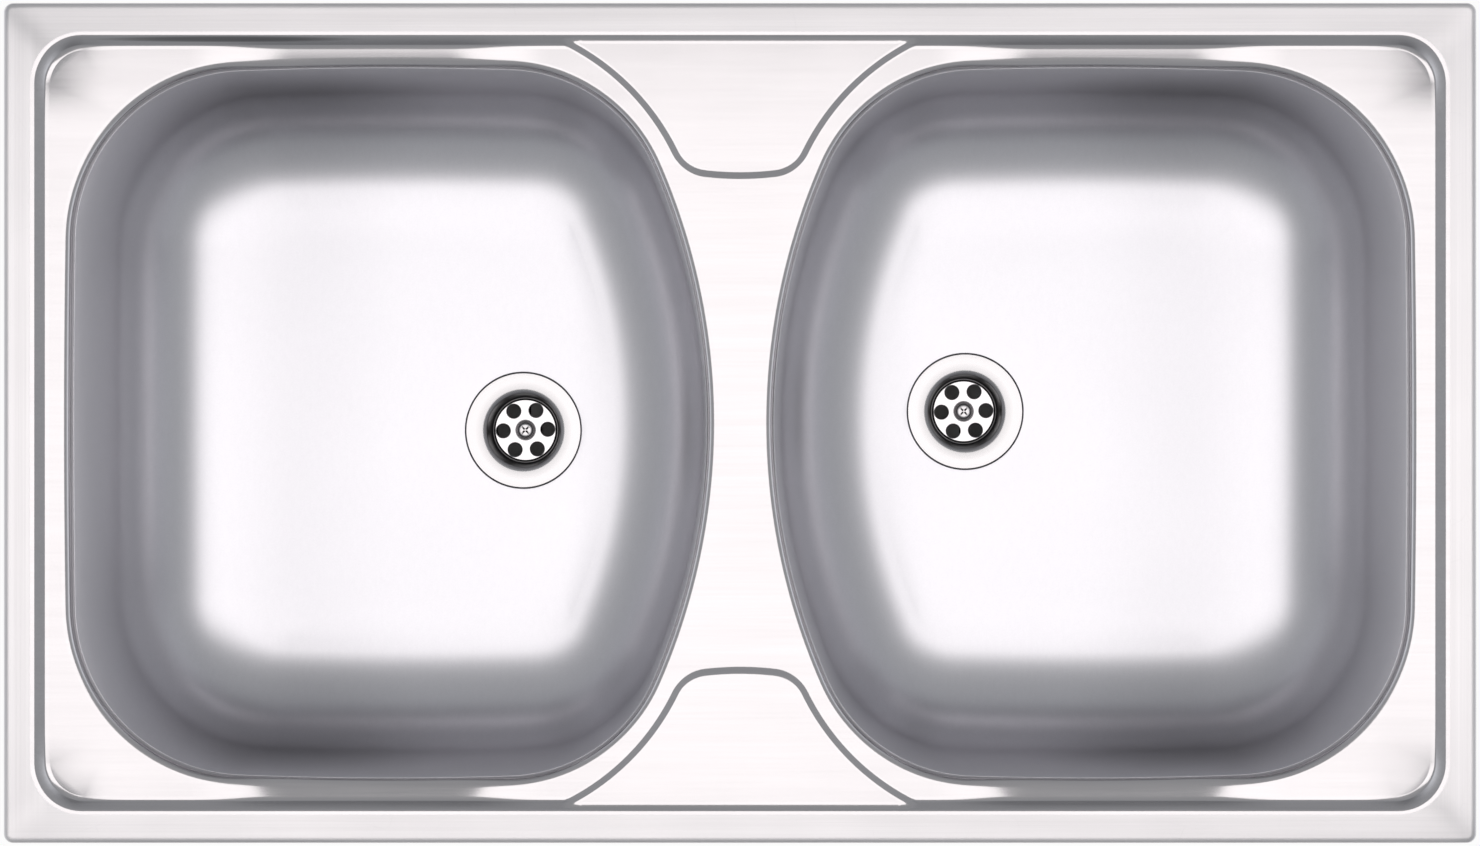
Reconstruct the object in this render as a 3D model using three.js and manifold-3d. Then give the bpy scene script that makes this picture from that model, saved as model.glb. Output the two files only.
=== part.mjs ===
// Double bowl inset kitchen sink: a pressed stainless deck with two D-shaped bowls welded under it,
// a strainer waste in each bowl, a foam seal under the border and six swing clamps that hold it in a worktop.
// Millimetres, +X to the right, +Y to the rear, +Z up. The origin is the middle of the sink, on the
// plane of the worktop's top face, which the seal rests on.
import * as THREE from "three";
import { mergeVertices } from "three/addons/utils/BufferGeometryUtils.js";
import Module from "manifold-3d";

// Deck pressing
const sheet = 0.8; // stainless sheet thickness
const sinkLength = 780;
const sinkWidth = 445;
const outerCorner = 5; // plan radius of the sink's corners
const rimHeight = 6; // top of the raised border above the worktop
const lipClearance = 0.3; // turned-down lip above the worktop
const edgeRound = 1.6; // rounding where the border turns down
const borderWidth = 16.4; // flat border, from the edge to the top of the step
const stepCorner = 26; // plan radius of the step's corners
const deckDrop = 4.2; // the deck round the bowls, below the border
const panelDrop = 2.1; // the raised panels between the bowls, below the border
const stepAngle = 32; // slope of every pressed step, in degrees
const stepEase = 0.9; // easing of each bend, measured along the flat

// Raised panels, one behind and one in front of the bridge between the bowls
const panelSideRadius = 126; // side arc, at the panel's foot
const panelSideBack = 24; // side arc's centre, outward of the bowl corner's centre
const panelSideIn = 15; // and towards the middle of the sink
const panelNoseReach = 93; // from the sink's edge to the foot of the nose
const panelNoseRadius = 162;
const panelNoseCorner = 17.7;

// Bowls: five tangent arcs a side, the same pressing turned half round for the right
const bridge = 35.6; // between the two bowls' walls
const deckStripEnd = 7.1; // flat deck between the foot of the step and a bowl's rim, at the sink's ends
const deckStripLong = 5.9; // and along the front and the rear
const bowlDepth = 150; // from the top of the border to the waste's flange
const innerSideRadius = 342; // bulged side towards the bridge
const endSideRadius = 2000; // front and rear sides
const outerSideRadius = 6000;
const innerCorner = 86;
const outerCornerBowl = 91;
const rimRadius = 4; // where the deck turns down into a bowl
const collarDepth = 8; // from the deck to the weld
const wallDraft = 2.5; // degrees
const floorRadius = 55; // between wall and floor
const floorFall = 0.02; // the floor's fall towards the waste
const wasteFromMiddle = 129; // waste axis, along X
const wasteOffset = 5.5; // waste axis off the long centre line

// Strainer and waste
const flangeRadius = 35;
const flangeGap = 0.7; // round the flange in its recess
const flangeSealThickness = 1.5;
const wasteHole = 30; // radius of the hole in the bowl
const cupMouth = 23.6; // radius where the flange turns down
const cupFloor = 19.6;
const cupDepth = 13.5;
const strainerHole = 4.15; // radius of each drain hole
const strainerHoleCircle = 13.1;
const strainerHoles = 6;
const strainerTurn = 2; // degrees that the hole pattern is turned by
const wasteScrewRadius = 3;
const wasteScrewHead = 5; // radius
const wasteScrewHeadHeight = 2.6;
const recessLength = 4.6; // cross recess in its head
const recessWidth = 1.1;
const recessDepth = 1.2;
const wasteScrewLength = 18;
const screwClearance = 0.35; // round a screw's shank
const gasketThickness = 3;
const gasketInner = 30.4;
const gasketOuter = 35.4;
const wasteRim = 36; // outer radius of the waste body's rim
const wasteRimThickness = 4;
const wasteMouth = 27; // inner radius of the body under the gasket
const wasteWall = 3;
const wasteMouthDepth = 9; // straight part under the rim
const wasteTaper = 12; // height of the taper down to the outlet
const outletRadius = 23.9; // outside of the 1 1/2 inch outlet
const outletLength = 33;
const bossRadius = 8.2;
const bossHeight = 17;
const spokes = 3;
const spokeThickness = 3;
const insertRadius = 5; // brass insert
const insertHeight = 12;
const seatGap = 0.3; // between pieces that are pushed or moulded together

// Foam seal and sound-deadening pads
const sealInset = sheet + edgeRound + 0.2; // from the sink's edge, clear of the rounding
const sealWidth = 8;
const sealCorner = outerCorner - sealInset;
const padWidth = 176;
const padCorner = 14;
const padThickness = 2.4;
const padFromWaste = 51; // pad's near edge from the waste axis
const padFromWall = 13; // pad's far edge from where the floor turns up into the wall

// Swing clamps
const clampFromEnd = 61; // corner clamps, from the sink's end
const bracketWidth = 15; // across the rim
const bracketFlange = 8;
const bracketSpan = 24; // outside of the bridge
const bracketHeight = 15;
const bracketSheet = 1.5;
const bracketToStep = 0.8; // clear of the foot of the step
const nutAcross = 8; // across flats
const nutHeight = 4;
const clampScrewRadius = 2.45;
const clampScrewLength = 40;
const clampScrewHead = 8; // across flats
const clampScrewHeadHeight = 3.5;
const clampTravel = 13; // from slack to tight
const tipUnderDeck = 1; // a tight screw's tip, under the deck
const runningGap = 0.3; // between a clamp's turning pieces
const heelClear = 0.6; // heel of the claw, clear of the nut's corners
const washerRadius = 6;
const washerThickness = 1.2;
const clawWidth = 16;
const clawSheet = 2;
const clawReach = 29; // from the screw to the toothed jaw
const jawHeight = 8;
const jawTeeth = 4;
const toothDepth = 1.6;
const jawTaper = 2; // taken off each side of the jaw's end
const bendRadius = 1.2; // inside of each bend in strip

const radians = THREE.MathUtils.degToRad;
const wasm = await Module();
wasm.setup();

// Levels
const deckZ = rimHeight - deckDrop;
const panelZ = rimHeight - panelDrop;
const weldZ = deckZ - collarDepth;
const flangeZ = rimHeight - bowlDepth;
const recessZ = flangeZ - sheet - flangeSealThickness;
const deckStepRun = deckDrop / Math.tan(radians(stepAngle));
const bowlLength = (sinkLength - bridge) / 2 - borderWidth - deckStepRun - deckStripEnd - rimRadius;
const bowlWidth = sinkWidth - 2 * (borderWidth + deckStepRun + deckStripLong + rimRadius);
const panelRun = (deckDrop - panelDrop) / Math.tan(radians(stepAngle));

// ---- Shape helpers ----

function toSolid(geometry) {
  const bare = geometry.index ? geometry.toNonIndexed() : geometry.clone();
  bare.deleteAttribute("normal");
  bare.deleteAttribute("uv");
  const merged = mergeVertices(bare, 1e-4);
  return new wasm.Manifold(
    new wasm.Mesh({
      numProp: 3,
      vertProperties: merged.attributes.position.array,
      triVerts: merged.index.array,
    }),
  );
}

function toGeometry(solid) {
  const mesh = solid.getMesh();
  const geometry = new THREE.BufferGeometry();
  geometry.setAttribute("position", new THREE.BufferAttribute(mesh.vertProperties, 3));
  geometry.setIndex(new THREE.BufferAttribute(mesh.triVerts, 1));
  return geometry;
}

// Skins a row of rings, each a list of [x, y, z] with as many points as the next. A closed row joins its
// last ring to its first, as a pressed sheet's two faces are; an open row is capped flat at both ends.
function loft(rings, closed = false) {
  const count = rings[0].length;
  const faces = [];
  const last = closed ? rings.length : rings.length - 1;
  for (let r = 0; r < last; r++) {
    const a = r * count;
    const b = ((r + 1) % rings.length) * count;
    for (let i = 0; i < count; i++) {
      const j = (i + 1) % count;
      faces.push(a + i, a + j, b + j, a + i, b + j, b + i);
    }
  }
  if (!closed) {
    const flat = (ring) => ring.map(([x, y]) => new THREE.Vector2(x, y));
    const cap = (ring) => THREE.ShapeUtils.triangulateShape(flat(ring), []);
    const top = (rings.length - 1) * count;
    for (const [p, q, s] of cap(rings[0])) faces.push(s, q, p);
    for (const [p, q, s] of cap(rings[rings.length - 1])) faces.push(top + p, top + q, top + s);
  }
  const points = rings.flat();
  const corner = (i) => new THREE.Vector3(...points[i]);
  let volume = 0;
  for (let f = 0; f < faces.length; f += 3) {
    volume += corner(faces[f]).dot(corner(faces[f + 1]).cross(corner(faces[f + 2])));
  }
  if (volume < 0) faces.reverse();
  const geometry = new THREE.BufferGeometry();
  geometry.setAttribute("position", new THREE.Float32BufferAttribute(points.flat(), 3));
  geometry.setIndex(faces);
  return geometry;
}

const atHeight = (outline, z) => outline.map(([x, y]) => [x, y, z]);

// Points along an arc, without the last one.
function arc([x, y], radius, from, to, segments) {
  const points = [];
  for (let i = 0; i < segments; i++) {
    const a = from + ((to - from) * i) / segments;
    points.push([x + radius * Math.cos(a), y + radius * Math.sin(a)]);
  }
  return points;
}

const angleTo = ([ax, ay], [bx, by]) => Math.atan2(by - ay, bx - ax);

// The point at given distances from two centres, on the side of larger Y.
function between([ax, ay], ra, [bx, by], rb) {
  const apart = Math.hypot(bx - ax, by - ay);
  const along = (ra * ra - rb * rb + apart * apart) / (2 * apart);
  const across = Math.sqrt(ra * ra - along * along);
  const u = [(bx - ax) / apart, (by - ay) / apart];
  const foot = [ax + u[0] * along, ay + u[1] * along];
  const one = [foot[0] - u[1] * across, foot[1] + u[0] * across];
  const other = [foot[0] + u[1] * across, foot[1] - u[0] * across];
  return one[1] > other[1] ? one : other;
}

function roundedRectangle(length, width, corner, segments) {
  const x = length / 2 - corner;
  const y = width / 2 - corner;
  const quarter = Math.PI / 2;
  const step = quarter / segments;
  const centres = [[x, y], [-x, y], [-x, -y], [x, -y]];
  return centres.flatMap((c, i) => arc(c, corner, i * quarter, (i + 1) * quarter + step, segments + 1));
}

// The sink's outline at an inset, with corners of its own radius.
const sinkOutline = (inset, corner, segments = 3) =>
  roundedRectangle(sinkLength - 2 * inset, sinkWidth - 2 * inset, corner, segments);

function revolve(profile, segments = 24) {
  const points = profile.map(([r, z]) => new THREE.Vector2(r, z));
  if (THREE.ShapeUtils.isClockWise(points)) points.reverse();
  return new THREE.LatheGeometry([...points, points[0].clone()], segments).rotateX(Math.PI / 2);
}

const upright = (radius, height, segments, z) =>
  new THREE.CylinderGeometry(radius, radius, height, segments)
    .rotateX(Math.PI / 2)
    .translate(0, 0, z + height / 2);

function extrude(points, depth) {
  const shape = new THREE.Shape(points.map(([x, y]) => new THREE.Vector2(x, y)));
  return new THREE.ExtrudeGeometry(shape, { depth, bevelEnabled: false });
}

// Strip metal bent along a path of [x, z] points, as wide as it is long in Y and centred on Y = 0.
function bentStrip(path, thickness, width, inside) {
  const left = [];
  const right = [];
  const outer = inside + thickness;
  path.forEach((p, i) => {
    const before = path[i - 1];
    const after = path[i + 1];
    const heading = (a, b) => Math.atan2(b[1] - a[1], b[0] - a[0]);
    if (!before || !after) {
      const h = before ? heading(before, p) : heading(p, after);
      left.push([p[0] - thickness * Math.sin(h), p[1] + thickness * Math.cos(h)]);
      right.push(p);
      return;
    }
    const h = heading(before, p);
    const turn = Math.atan2(Math.sin(heading(p, after) - h), Math.cos(heading(p, after) - h));
    const reach = (turn > 0 ? outer : inside) * Math.tan(Math.abs(turn) / 2);
    const side = Math.sign(turn);
    const far = turn > 0 ? outer : inside;
    const start = [p[0] - reach * Math.cos(h), p[1] - reach * Math.sin(h)];
    const centre = [start[0] - side * far * Math.sin(h), start[1] + side * far * Math.cos(h)];
    for (const share of [0, 1]) {
      const a = h - (side * Math.PI) / 2 + turn * share;
      const near = turn > 0 ? inside : outer;
      right.push([centre[0] + far * Math.cos(a), centre[1] + far * Math.sin(a)]);
      left.push([centre[0] + near * Math.cos(a), centre[1] + near * Math.sin(a)]);
    }
  });
  return extrude([...right, ...left.reverse()], width).translate(0, 0, -width / 2).rotateX(Math.PI / 2);
}

// ---- The bowls' plan ----

const bowlInner = -bridge / 2;
const bowlOuter = bowlInner - bowlLength;
const innerCentre = [bowlInner - innerSideRadius, 0];
const outerCentre = [bowlOuter + outerSideRadius, 0];
const endCentre = [(bowlInner + bowlOuter) / 2, bowlWidth / 2 - endSideRadius];
const innerCornerCentre = between(
  innerCentre, innerSideRadius - innerCorner, endCentre, endSideRadius - innerCorner);
const outerCornerCentre = between(
  outerCentre, outerSideRadius - outerCornerBowl, endCentre, endSideRadius - outerCornerBowl);

// The left bowl's outline, taken in from the wall's line at the weld. Every inset has the same stations.
function bowlOutline(inset) {
  const innerEnd = angleTo(innerCentre, innerCornerCentre);
  const endStart = angleTo(endCentre, innerCornerCentre);
  const endEnd = angleTo(endCentre, outerCornerCentre);
  const outerStart = angleTo(outerCentre, outerCornerCentre);
  const rear = [
    ...arc(innerCentre, innerSideRadius - inset, 0, innerEnd, 5),
    ...arc(innerCornerCentre, innerCorner - inset, innerEnd, endStart, 6),
    ...arc(endCentre, endSideRadius - inset, endStart, endEnd, 3),
    ...arc(outerCornerCentre, outerCornerBowl - inset, endEnd, outerStart, 6),
    ...arc(outerCentre, outerSideRadius - inset, outerStart, Math.PI, 2),
  ];
  const last = [bowlOuter + inset, 0];
  const front = rear.slice(1).reverse().map(([x, y]) => [x, -y]);
  return [...rear, last, ...front];
}

const waste = [-wasteFromMiddle, -wasteOffset];
const floorZ = ([x, y]) =>
  flangeZ + floorFall * Math.max(0, Math.hypot(x - waste[0], y - waste[1]) - flangeRadius - flangeGap);

// ---- Deck ----

// The space over the deck inside the border, as a solid: its floor is the deck and its sides are the step.
function deckPocket() {
  const ease = stepEase * Math.tan(radians(stepAngle)) * 0.3;
  const ring = (inset, z) => atHeight(sinkOutline(borderWidth + inset, stepCorner - inset, 6), z);
  return toSolid(loft([
    ring(0, rimHeight + 1),
    ring(0, rimHeight),
    ring(stepEase, rimHeight - ease),
    ring(deckStepRun - stepEase, deckZ + ease),
    ring(deckStepRun, deckZ),
  ]));
}

// A raised panel: two side arcs that keep clear of the bowls' corners and a rounded nose between them.
function panelOutline(inset) {
  const side = panelSideRadius + inset;
  const nose = panelNoseRadius - inset;
  const corner = panelNoseCorner - inset;
  const sideCentre = [innerCornerCentre[0] - panelSideBack, innerCornerCentre[1] - panelSideIn];
  const noseCentre = [0, sinkWidth / 2 - panelNoseReach + panelNoseRadius];
  const apart = Math.hypot(noseCentre[0] - sideCentre[0], noseCentre[1] - sideCentre[1]);
  const reachA = side + corner;
  const reachB = nose - corner;
  const along = (reachA * reachA - reachB * reachB + apart * apart) / (2 * apart);
  const across = Math.sqrt(reachA * reachA - along * along);
  const u = [(noseCentre[0] - sideCentre[0]) / apart, (noseCentre[1] - sideCentre[1]) / apart];
  const centre = [
    sideCentre[0] + u[0] * along + u[1] * across,
    sideCentre[1] + u[1] * along - u[0] * across,
  ];
  const meet = angleTo(sideCentre, centre);
  const underBorder = sinkWidth / 2 - borderWidth + 1;
  const sideEnd = Math.PI * 0.36;
  const noseAngle = angleTo(noseCentre, centre);
  const top = [sideCentre[0] + side * Math.cos(sideEnd), underBorder];
  const left = [
    top,
    ...arc(sideCentre, side, sideEnd, meet, 7),
    ...arc(centre, corner, meet + Math.PI, noseAngle + 2 * Math.PI, 4),
    ...arc(noseCentre, nose, noseAngle, -Math.PI / 2, 3),
  ];
  const right = left.map(([x, y]) => [-x, y]).reverse();
  return [...left, [0, noseCentre[1] - nose], ...right];
}

function panelBump() {
  const ease = stepEase * Math.tan(radians(stepAngle)) * 0.3;
  return toSolid(loft([
    atHeight(panelOutline(0), deckZ - sheet / 2),
    atHeight(panelOutline(0), deckZ),
    atHeight(panelOutline(stepEase), deckZ + ease),
    atHeight(panelOutline(panelRun - stepEase), panelZ - ease),
    atHeight(panelOutline(panelRun), panelZ),
  ]));
}

// Everything under a face of the pressed sheet, down to a flat bottom, before the bowls are cut.
function underSheet(inset, bottom) {
  const ring = (more, z) => atHeight(sinkOutline(inset + more, outerCorner - inset - more), z);
  const block = toSolid(loft([
    ring(0, bottom),
    ring(0, rimHeight - edgeRound),
    ring(edgeRound * 0.3, rimHeight - edgeRound * 0.3),
    ring(edgeRound, rimHeight),
  ]));
  const panel = panelBump();
  return block.subtract(deckPocket()).add(panel).add(panel.rotate([0, 0, 180]));
}

// Where the deck turns down into a bowl, ending square at the weld.
function collar() {
  const quarter = Math.PI / 2;
  const bends = 3;
  const flat = rimRadius + sheet;
  const top = [[-flat, deckZ]];
  const under = [[-flat, deckZ - sheet]];
  for (let i = 0; i <= bends; i++) {
    const a = (quarter * i) / bends;
    top.push([rimRadius * (Math.sin(a) - 1), deckZ - rimRadius * (1 - Math.cos(a))]);
    const inside = rimRadius - sheet;
    under.push([inside * Math.sin(a) - rimRadius, deckZ - sheet - inside * (1 - Math.cos(a))]);
  }
  top.push([0, weldZ]);
  under.push([-sheet, weldZ]);
  const section = [...top, ...under.reverse()];
  return loft(section.map(([inset, z]) => atHeight(bowlOutline(inset), z)), true);
}

function deck() {
  const opening = toSolid(loft([
    atHeight(bowlOutline(-rimRadius - sheet), deckZ - 5 * sheet),
    atHeight(bowlOutline(-rimRadius - sheet), deckZ + 5 * sheet),
  ]));
  const ring = toSolid(collar());
  const top = underSheet(0, lipClearance);
  const under = underSheet(sheet, -rimHeight).translate([0, 0, -sheet]);
  const half = [0, 0, 180];
  return toGeometry(top.subtract(under)
    .subtract(opening).subtract(opening.rotate(half))
    .add(ring).add(ring.rotate(half)));
}

// ---- Bowl ----

// Inset of the floor's edge: where a fillet of the floor's radius leaves a wall with this draft.
const wallHeight = weldZ - flangeZ;
const draft = radians(wallDraft);
const floorInset = (floorRadius + (wallHeight - floorRadius) * Math.sin(draft)) / Math.cos(draft);

// Both faces of the pressing, from the weld down to the waste's hole and back up the outside.
function bowl() {
  const bends = 5;
  const wall = (thickness) => {
    const radius = floorRadius + thickness;
    const points = [[-thickness / Math.cos(draft), 0]];
    for (let i = 0; i <= bends; i++) {
      const a = Math.PI + draft + ((Math.PI / 2 - draft) * i) / bends;
      points.push([floorInset + radius * Math.cos(a), wallHeight - floorRadius - radius * Math.sin(a)]);
    }
    return points;
  };
  const floorLine = bowlOutline(floorInset);
  const share = floorLine.map((p) => (weldZ - floorZ(p)) / wallHeight);
  const wallRing = ([inset, down]) =>
    bowlOutline(inset).map(([x, y], i) => [x, y, weldZ - down * share[i]]);
  const wasteRing = (radius, z) => floorLine.map((p) => {
    const a = angleTo(waste, p);
    return [waste[0] + radius * Math.cos(a), waste[1] + radius * Math.sin(a), z];
  });
  const recess = flangeRadius + flangeGap;
  const inside = [
    ...wall(0).map(wallRing),
    wasteRing(recess + sheet, flangeZ),
    wasteRing(recess, recessZ),
    wasteRing(wasteHole, recessZ),
  ];
  const outside = [
    ...wall(sheet).map(wallRing),
    wasteRing(recess + 2 * sheet, flangeZ - sheet),
    wasteRing(recess + sheet, recessZ - sheet),
    wasteRing(wasteHole, recessZ - sheet),
  ];
  return loft([...inside, ...outside.reverse()], true);
}

// Bitumen pad stuck under the floor: a band that follows the floor's fall, cut to a rounded rectangle.
function soundPad() {
  const near = flangeRadius + flangeGap;
  const padLength = waste[0] - padFromWaste - (bowlOuter + floorInset + padFromWall);
  const far = Math.hypot(padFromWaste + padLength, padWidth);
  const edge = (r, drop) => [r, floorZ([waste[0] - r, waste[1]]) - sheet - seatGap - drop];
  const section = [edge(near, 0), edge(far, 0), edge(far, padThickness), edge(near, padThickness)];
  const band = toSolid(revolve(section, 48));
  const middle = -padFromWaste - padLength / 2;
  const plan = roundedRectangle(padLength, padWidth, padCorner, 3).map(([x, y]) => [x + middle, y]);
  const cutter = toSolid(loft([atHeight(plan, recessZ - padThickness), atHeight(plan, 0)]));
  return toGeometry(band.intersect(cutter).translate([waste[0], waste[1], 0]));
}

// ---- Waste, modelled round its own axis with the flange's top at Z = 0 ----

function strainer() {
  const bottom = -cupDepth;
  const dish = 0.5;
  const dimple = wasteScrewHead + 1;
  const hole = wasteScrewRadius + screwClearance;
  const section = [
    [hole, bottom - 1.6],
    [wasteScrewHead - 1, bottom - 1.6],
    [dimple, bottom],
    [cupFloor - 2.4, bottom],
    [cupFloor, bottom + 1.6],
    [cupMouth, -dish],
    [wasteHole, 0],
    [flangeRadius, 0],
    [flangeRadius, -sheet],
    [wasteHole, -sheet],
    [cupMouth + 0.6, -dish - sheet],
    [cupFloor + sheet, bottom + 1.2],
    [cupFloor - 2, bottom - sheet],
    [dimple + 0.3, bottom - sheet],
    [wasteScrewHead - 0.7, bottom - 1.6 - sheet],
    [hole, bottom - 1.6 - sheet],
  ];
  let cup = toSolid(revolve(section));
  for (let i = 0; i < strainerHoles; i++) {
    const a = (2 * Math.PI * i) / strainerHoles + radians(strainerTurn);
    const drill = upright(strainerHole, 6 * sheet, 10, bottom - 3 * sheet)
      .translate(strainerHoleCircle * Math.cos(a), strainerHoleCircle * Math.sin(a), 0);
    cup = cup.subtract(toSolid(drill));
  }
  return toGeometry(cup);
}

const ringSection = (inner, outer, bottom, top) =>
  [[inner, bottom], [outer, bottom], [outer, top], [inner, top]];

function flangeSeal() {
  const top = -sheet;
  return revolve(ringSection(wasteHole + 0.5, flangeRadius, top - flangeSealThickness, top));
}

const gasketTop = recessZ - sheet - flangeZ;
const bodyTop = gasketTop - gasketThickness;
const bossTop = -cupDepth - 1.6 - sheet - 1.2;

const underGasket = () => revolve(ringSection(gasketInner, gasketOuter, bodyTop, gasketTop));

function wasteScrew() {
  const head = -cupDepth - 1.6;
  const shank = head - wasteScrewLength;
  const screw = toSolid(revolve([
    [0, shank],
    [wasteScrewRadius - 0.6, shank],
    [wasteScrewRadius, shank + 0.8],
    [wasteScrewRadius, head + seatGap],
    [wasteScrewHead - 0.8, head + seatGap],
    [wasteScrewHead, head + 1.6],
    [wasteScrewHead * 0.6, head + wasteScrewHeadHeight],
    [0, head + wasteScrewHeadHeight + 0.2],
  ], 12));
  const recess = new THREE.BoxGeometry(recessLength, recessWidth, 2 * recessDepth)
    .rotateZ(Math.PI / 4)
    .translate(0, 0, head + wasteScrewHeadHeight);
  return toGeometry(screw.subtract(toSolid(recess)).subtract(toSolid(recess.clone().rotateZ(Math.PI / 2))));
}

// Plastic body: a rim under the gasket, a taper to the outlet, and a boss on spokes for the brass insert.
function wasteBody() {
  const under = bodyTop - wasteRimThickness;
  const taperTop = bodyTop - wasteMouthDepth;
  const taperEnd = taperTop - wasteTaper;
  const end = taperEnd - outletLength;
  const bore = outletRadius - wasteWall;
  const shell = toSolid(revolve([
    [bore, end],
    [outletRadius, end],
    [outletRadius, taperEnd],
    [wasteMouth + wasteWall, taperTop],
    [wasteMouth + wasteWall, under],
    [wasteRim, under],
    [wasteRim, bodyTop],
    [wasteMouth, bodyTop],
    [wasteMouth, taperTop],
    [bore, taperEnd],
  ]));
  let inner = toSolid(upright(bossRadius, bossHeight, 16, bossTop - bossHeight));
  const spokeTop = Math.min(bossTop - 1, taperEnd);
  const spokeHeight = spokeTop - (bossTop - bossHeight);
  for (let i = 0; i < spokes; i++) {
    const reach = bore + wasteWall / 2;
    const spoke = new THREE.BoxGeometry(reach, spokeThickness, spokeHeight)
      .translate(reach / 2, 0, spokeTop - spokeHeight / 2)
      .rotateZ((2 * Math.PI * i) / spokes + Math.PI / 2);
    inner = inner.add(toSolid(spoke));
  }
  const pocket = upright(insertRadius + seatGap, insertHeight + 1, 16, bossTop - insertHeight);
  const shank = wasteScrewRadius + 2 * screwClearance;
  const through = upright(shank, 2 * bossHeight, 12, bossTop - 1.5 * bossHeight);
  return toGeometry(shell.add(inner).subtract(toSolid(pocket)).subtract(toSolid(through)));
}

const threadInsert = () =>
  revolve(ringSection(wasteScrewRadius + screwClearance, insertRadius, bossTop - insertHeight, bossTop), 16);

// ---- Foam seal ----

function rimSeal() {
  const outer = sinkOutline(sealInset, sealCorner);
  const inner = sinkOutline(sealInset + sealWidth, sealCorner);
  const top = rimHeight - sheet;
  return loft([atHeight(outer, 0), atHeight(outer, top), atHeight(inner, top), atHeight(inner, 0)], true);
}

// ---- Swing clamp, modelled round its screw with the bracket's top at Z = 0 and the claw along +X ----

const tipZ = -tipUnderDeck - clampTravel;
const headTop = tipZ - clampScrewLength;
const clawUnder = headTop + washerThickness + 2 * runningGap;

function clampBracket() {
  const half = bracketSpan / 2;
  const low = -bracketHeight;
  const strip = bentStrip([
    [-half - bracketFlange, -bracketSheet],
    [-half + bracketSheet, -bracketSheet],
    [-half + bracketSheet, low],
    [half - bracketSheet, low],
    [half - bracketSheet, -bracketSheet],
    [half + bracketFlange, -bracketSheet],
  ], bracketSheet, bracketWidth, 0.2);
  const nut = upright(nutAcross / Math.sqrt(3), nutHeight, 6, low - nutHeight);
  const bore = upright(clampScrewRadius + screwClearance, 3 * nutHeight, 12, low - 1.5 * nutHeight);
  return toGeometry(toSolid(strip).add(toSolid(nut)).subtract(toSolid(bore)));
}

function clampScrew() {
  const shank = revolve([
    [0, headTop - 1],
    [clampScrewRadius, headTop - 1],
    [clampScrewRadius, tipZ - 0.8],
    [clampScrewRadius - 0.7, tipZ],
    [0, tipZ],
  ], 12);
  const headEnd = headTop - clampScrewHeadHeight;
  const head = upright(clampScrewHead / Math.sqrt(3), clampScrewHeadHeight, 6, headEnd);
  const slot = new THREE.BoxGeometry(2 * clampScrewHead, 1.2, 2).translate(0, 0, headEnd);
  return toGeometry(toSolid(shank).add(toSolid(head)).subtract(toSolid(slot)));
}

function clampWasher() {
  const bottom = headTop + runningGap;
  const hole = clampScrewRadius + screwClearance;
  return revolve(ringSection(hole, washerRadius, bottom, bottom + washerThickness), 12);
}

// A strip bent to a U: a plain heel that bears on the bracket, and a toothed jaw that bites the worktop.
function clampClaw() {
  const heel = nutAcross / Math.sqrt(3) + heelClear + clawSheet;
  const heelTop = -bracketHeight - clampTravel - runningGap;
  const jawTop = clawUnder + clawSheet + jawHeight;
  let claw = toSolid(bentStrip([
    [-heel, heelTop],
    [-heel, clawUnder],
    [clawReach, clawUnder],
    [clawReach, jawTop],
  ], clawSheet, clawWidth, bendRadius));
  const hole = upright(clampScrewRadius + screwClearance, 3 * clawSheet, 12, clawUnder - clawSheet);
  claw = claw.subtract(toSolid(hole));
  const pitch = clawWidth / jawTeeth;
  for (let i = 0; i <= jawTeeth; i++) {
    const notch = extrude([[-pitch / 2, 0.01], [0, -toothDepth], [pitch / 2, 0.01]], 3 * clawSheet)
      .rotateX(Math.PI / 2).rotateZ(-Math.PI / 2)
      .translate(clawReach + clawSheet, -clawWidth / 2 + i * pitch, jawTop);
    claw = claw.subtract(toSolid(notch));
  }
  for (const side of [-1, 1]) {
    const trim = extrude([
      [clawReach / 2, side * (clawWidth / 2 + 0.01)],
      [clawReach + 1, side * (clawWidth / 2 - jawTaper)],
      [clawReach + 1, side * clawWidth],
      [clawReach / 2, side * clawWidth],
    ], 3 * jawHeight).translate(0, 0, clawUnder - jawHeight);
    claw = claw.subtract(toSolid(trim));
  }
  return toGeometry(claw);
}

// ---- Finishes and assembly ----

const finish = (name, color, metalness, roughness) =>
  new THREE.MeshStandardMaterial({ name, color, metalness, roughness });

const satinSteel = finish("satin_steel", 0xd9d6d4, 1, 0.32);
const brightSteel = finish("bright_steel", 0xe4e2e0, 1, 0.18);
const zincSteel = finish("zinc_steel", 0xb9bdc0, 1, 0.4);
const brass = finish("brass", 0xc9a353, 1, 0.35);
const blackRubber = finish("black_rubber", 0x1f1f20, 0, 0.8);
const greyFoam = finish("grey_foam", 0x55565a, 0, 0.95);
const greyPad = finish("grey_pad", 0x6b6c6e, 0, 0.9);
const darkPlastic = finish("dark_plastic", 0x26272a, 0, 0.45);

const sink = new THREE.Group();

function place(name, geometry, material, parent = sink) {
  const mesh = new THREE.Mesh(geometry, material);
  mesh.name = name;
  parent.add(mesh);
}

place("deck", deck(), satinSteel);
place("rim_seal", rimSeal(), greyFoam);

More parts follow.
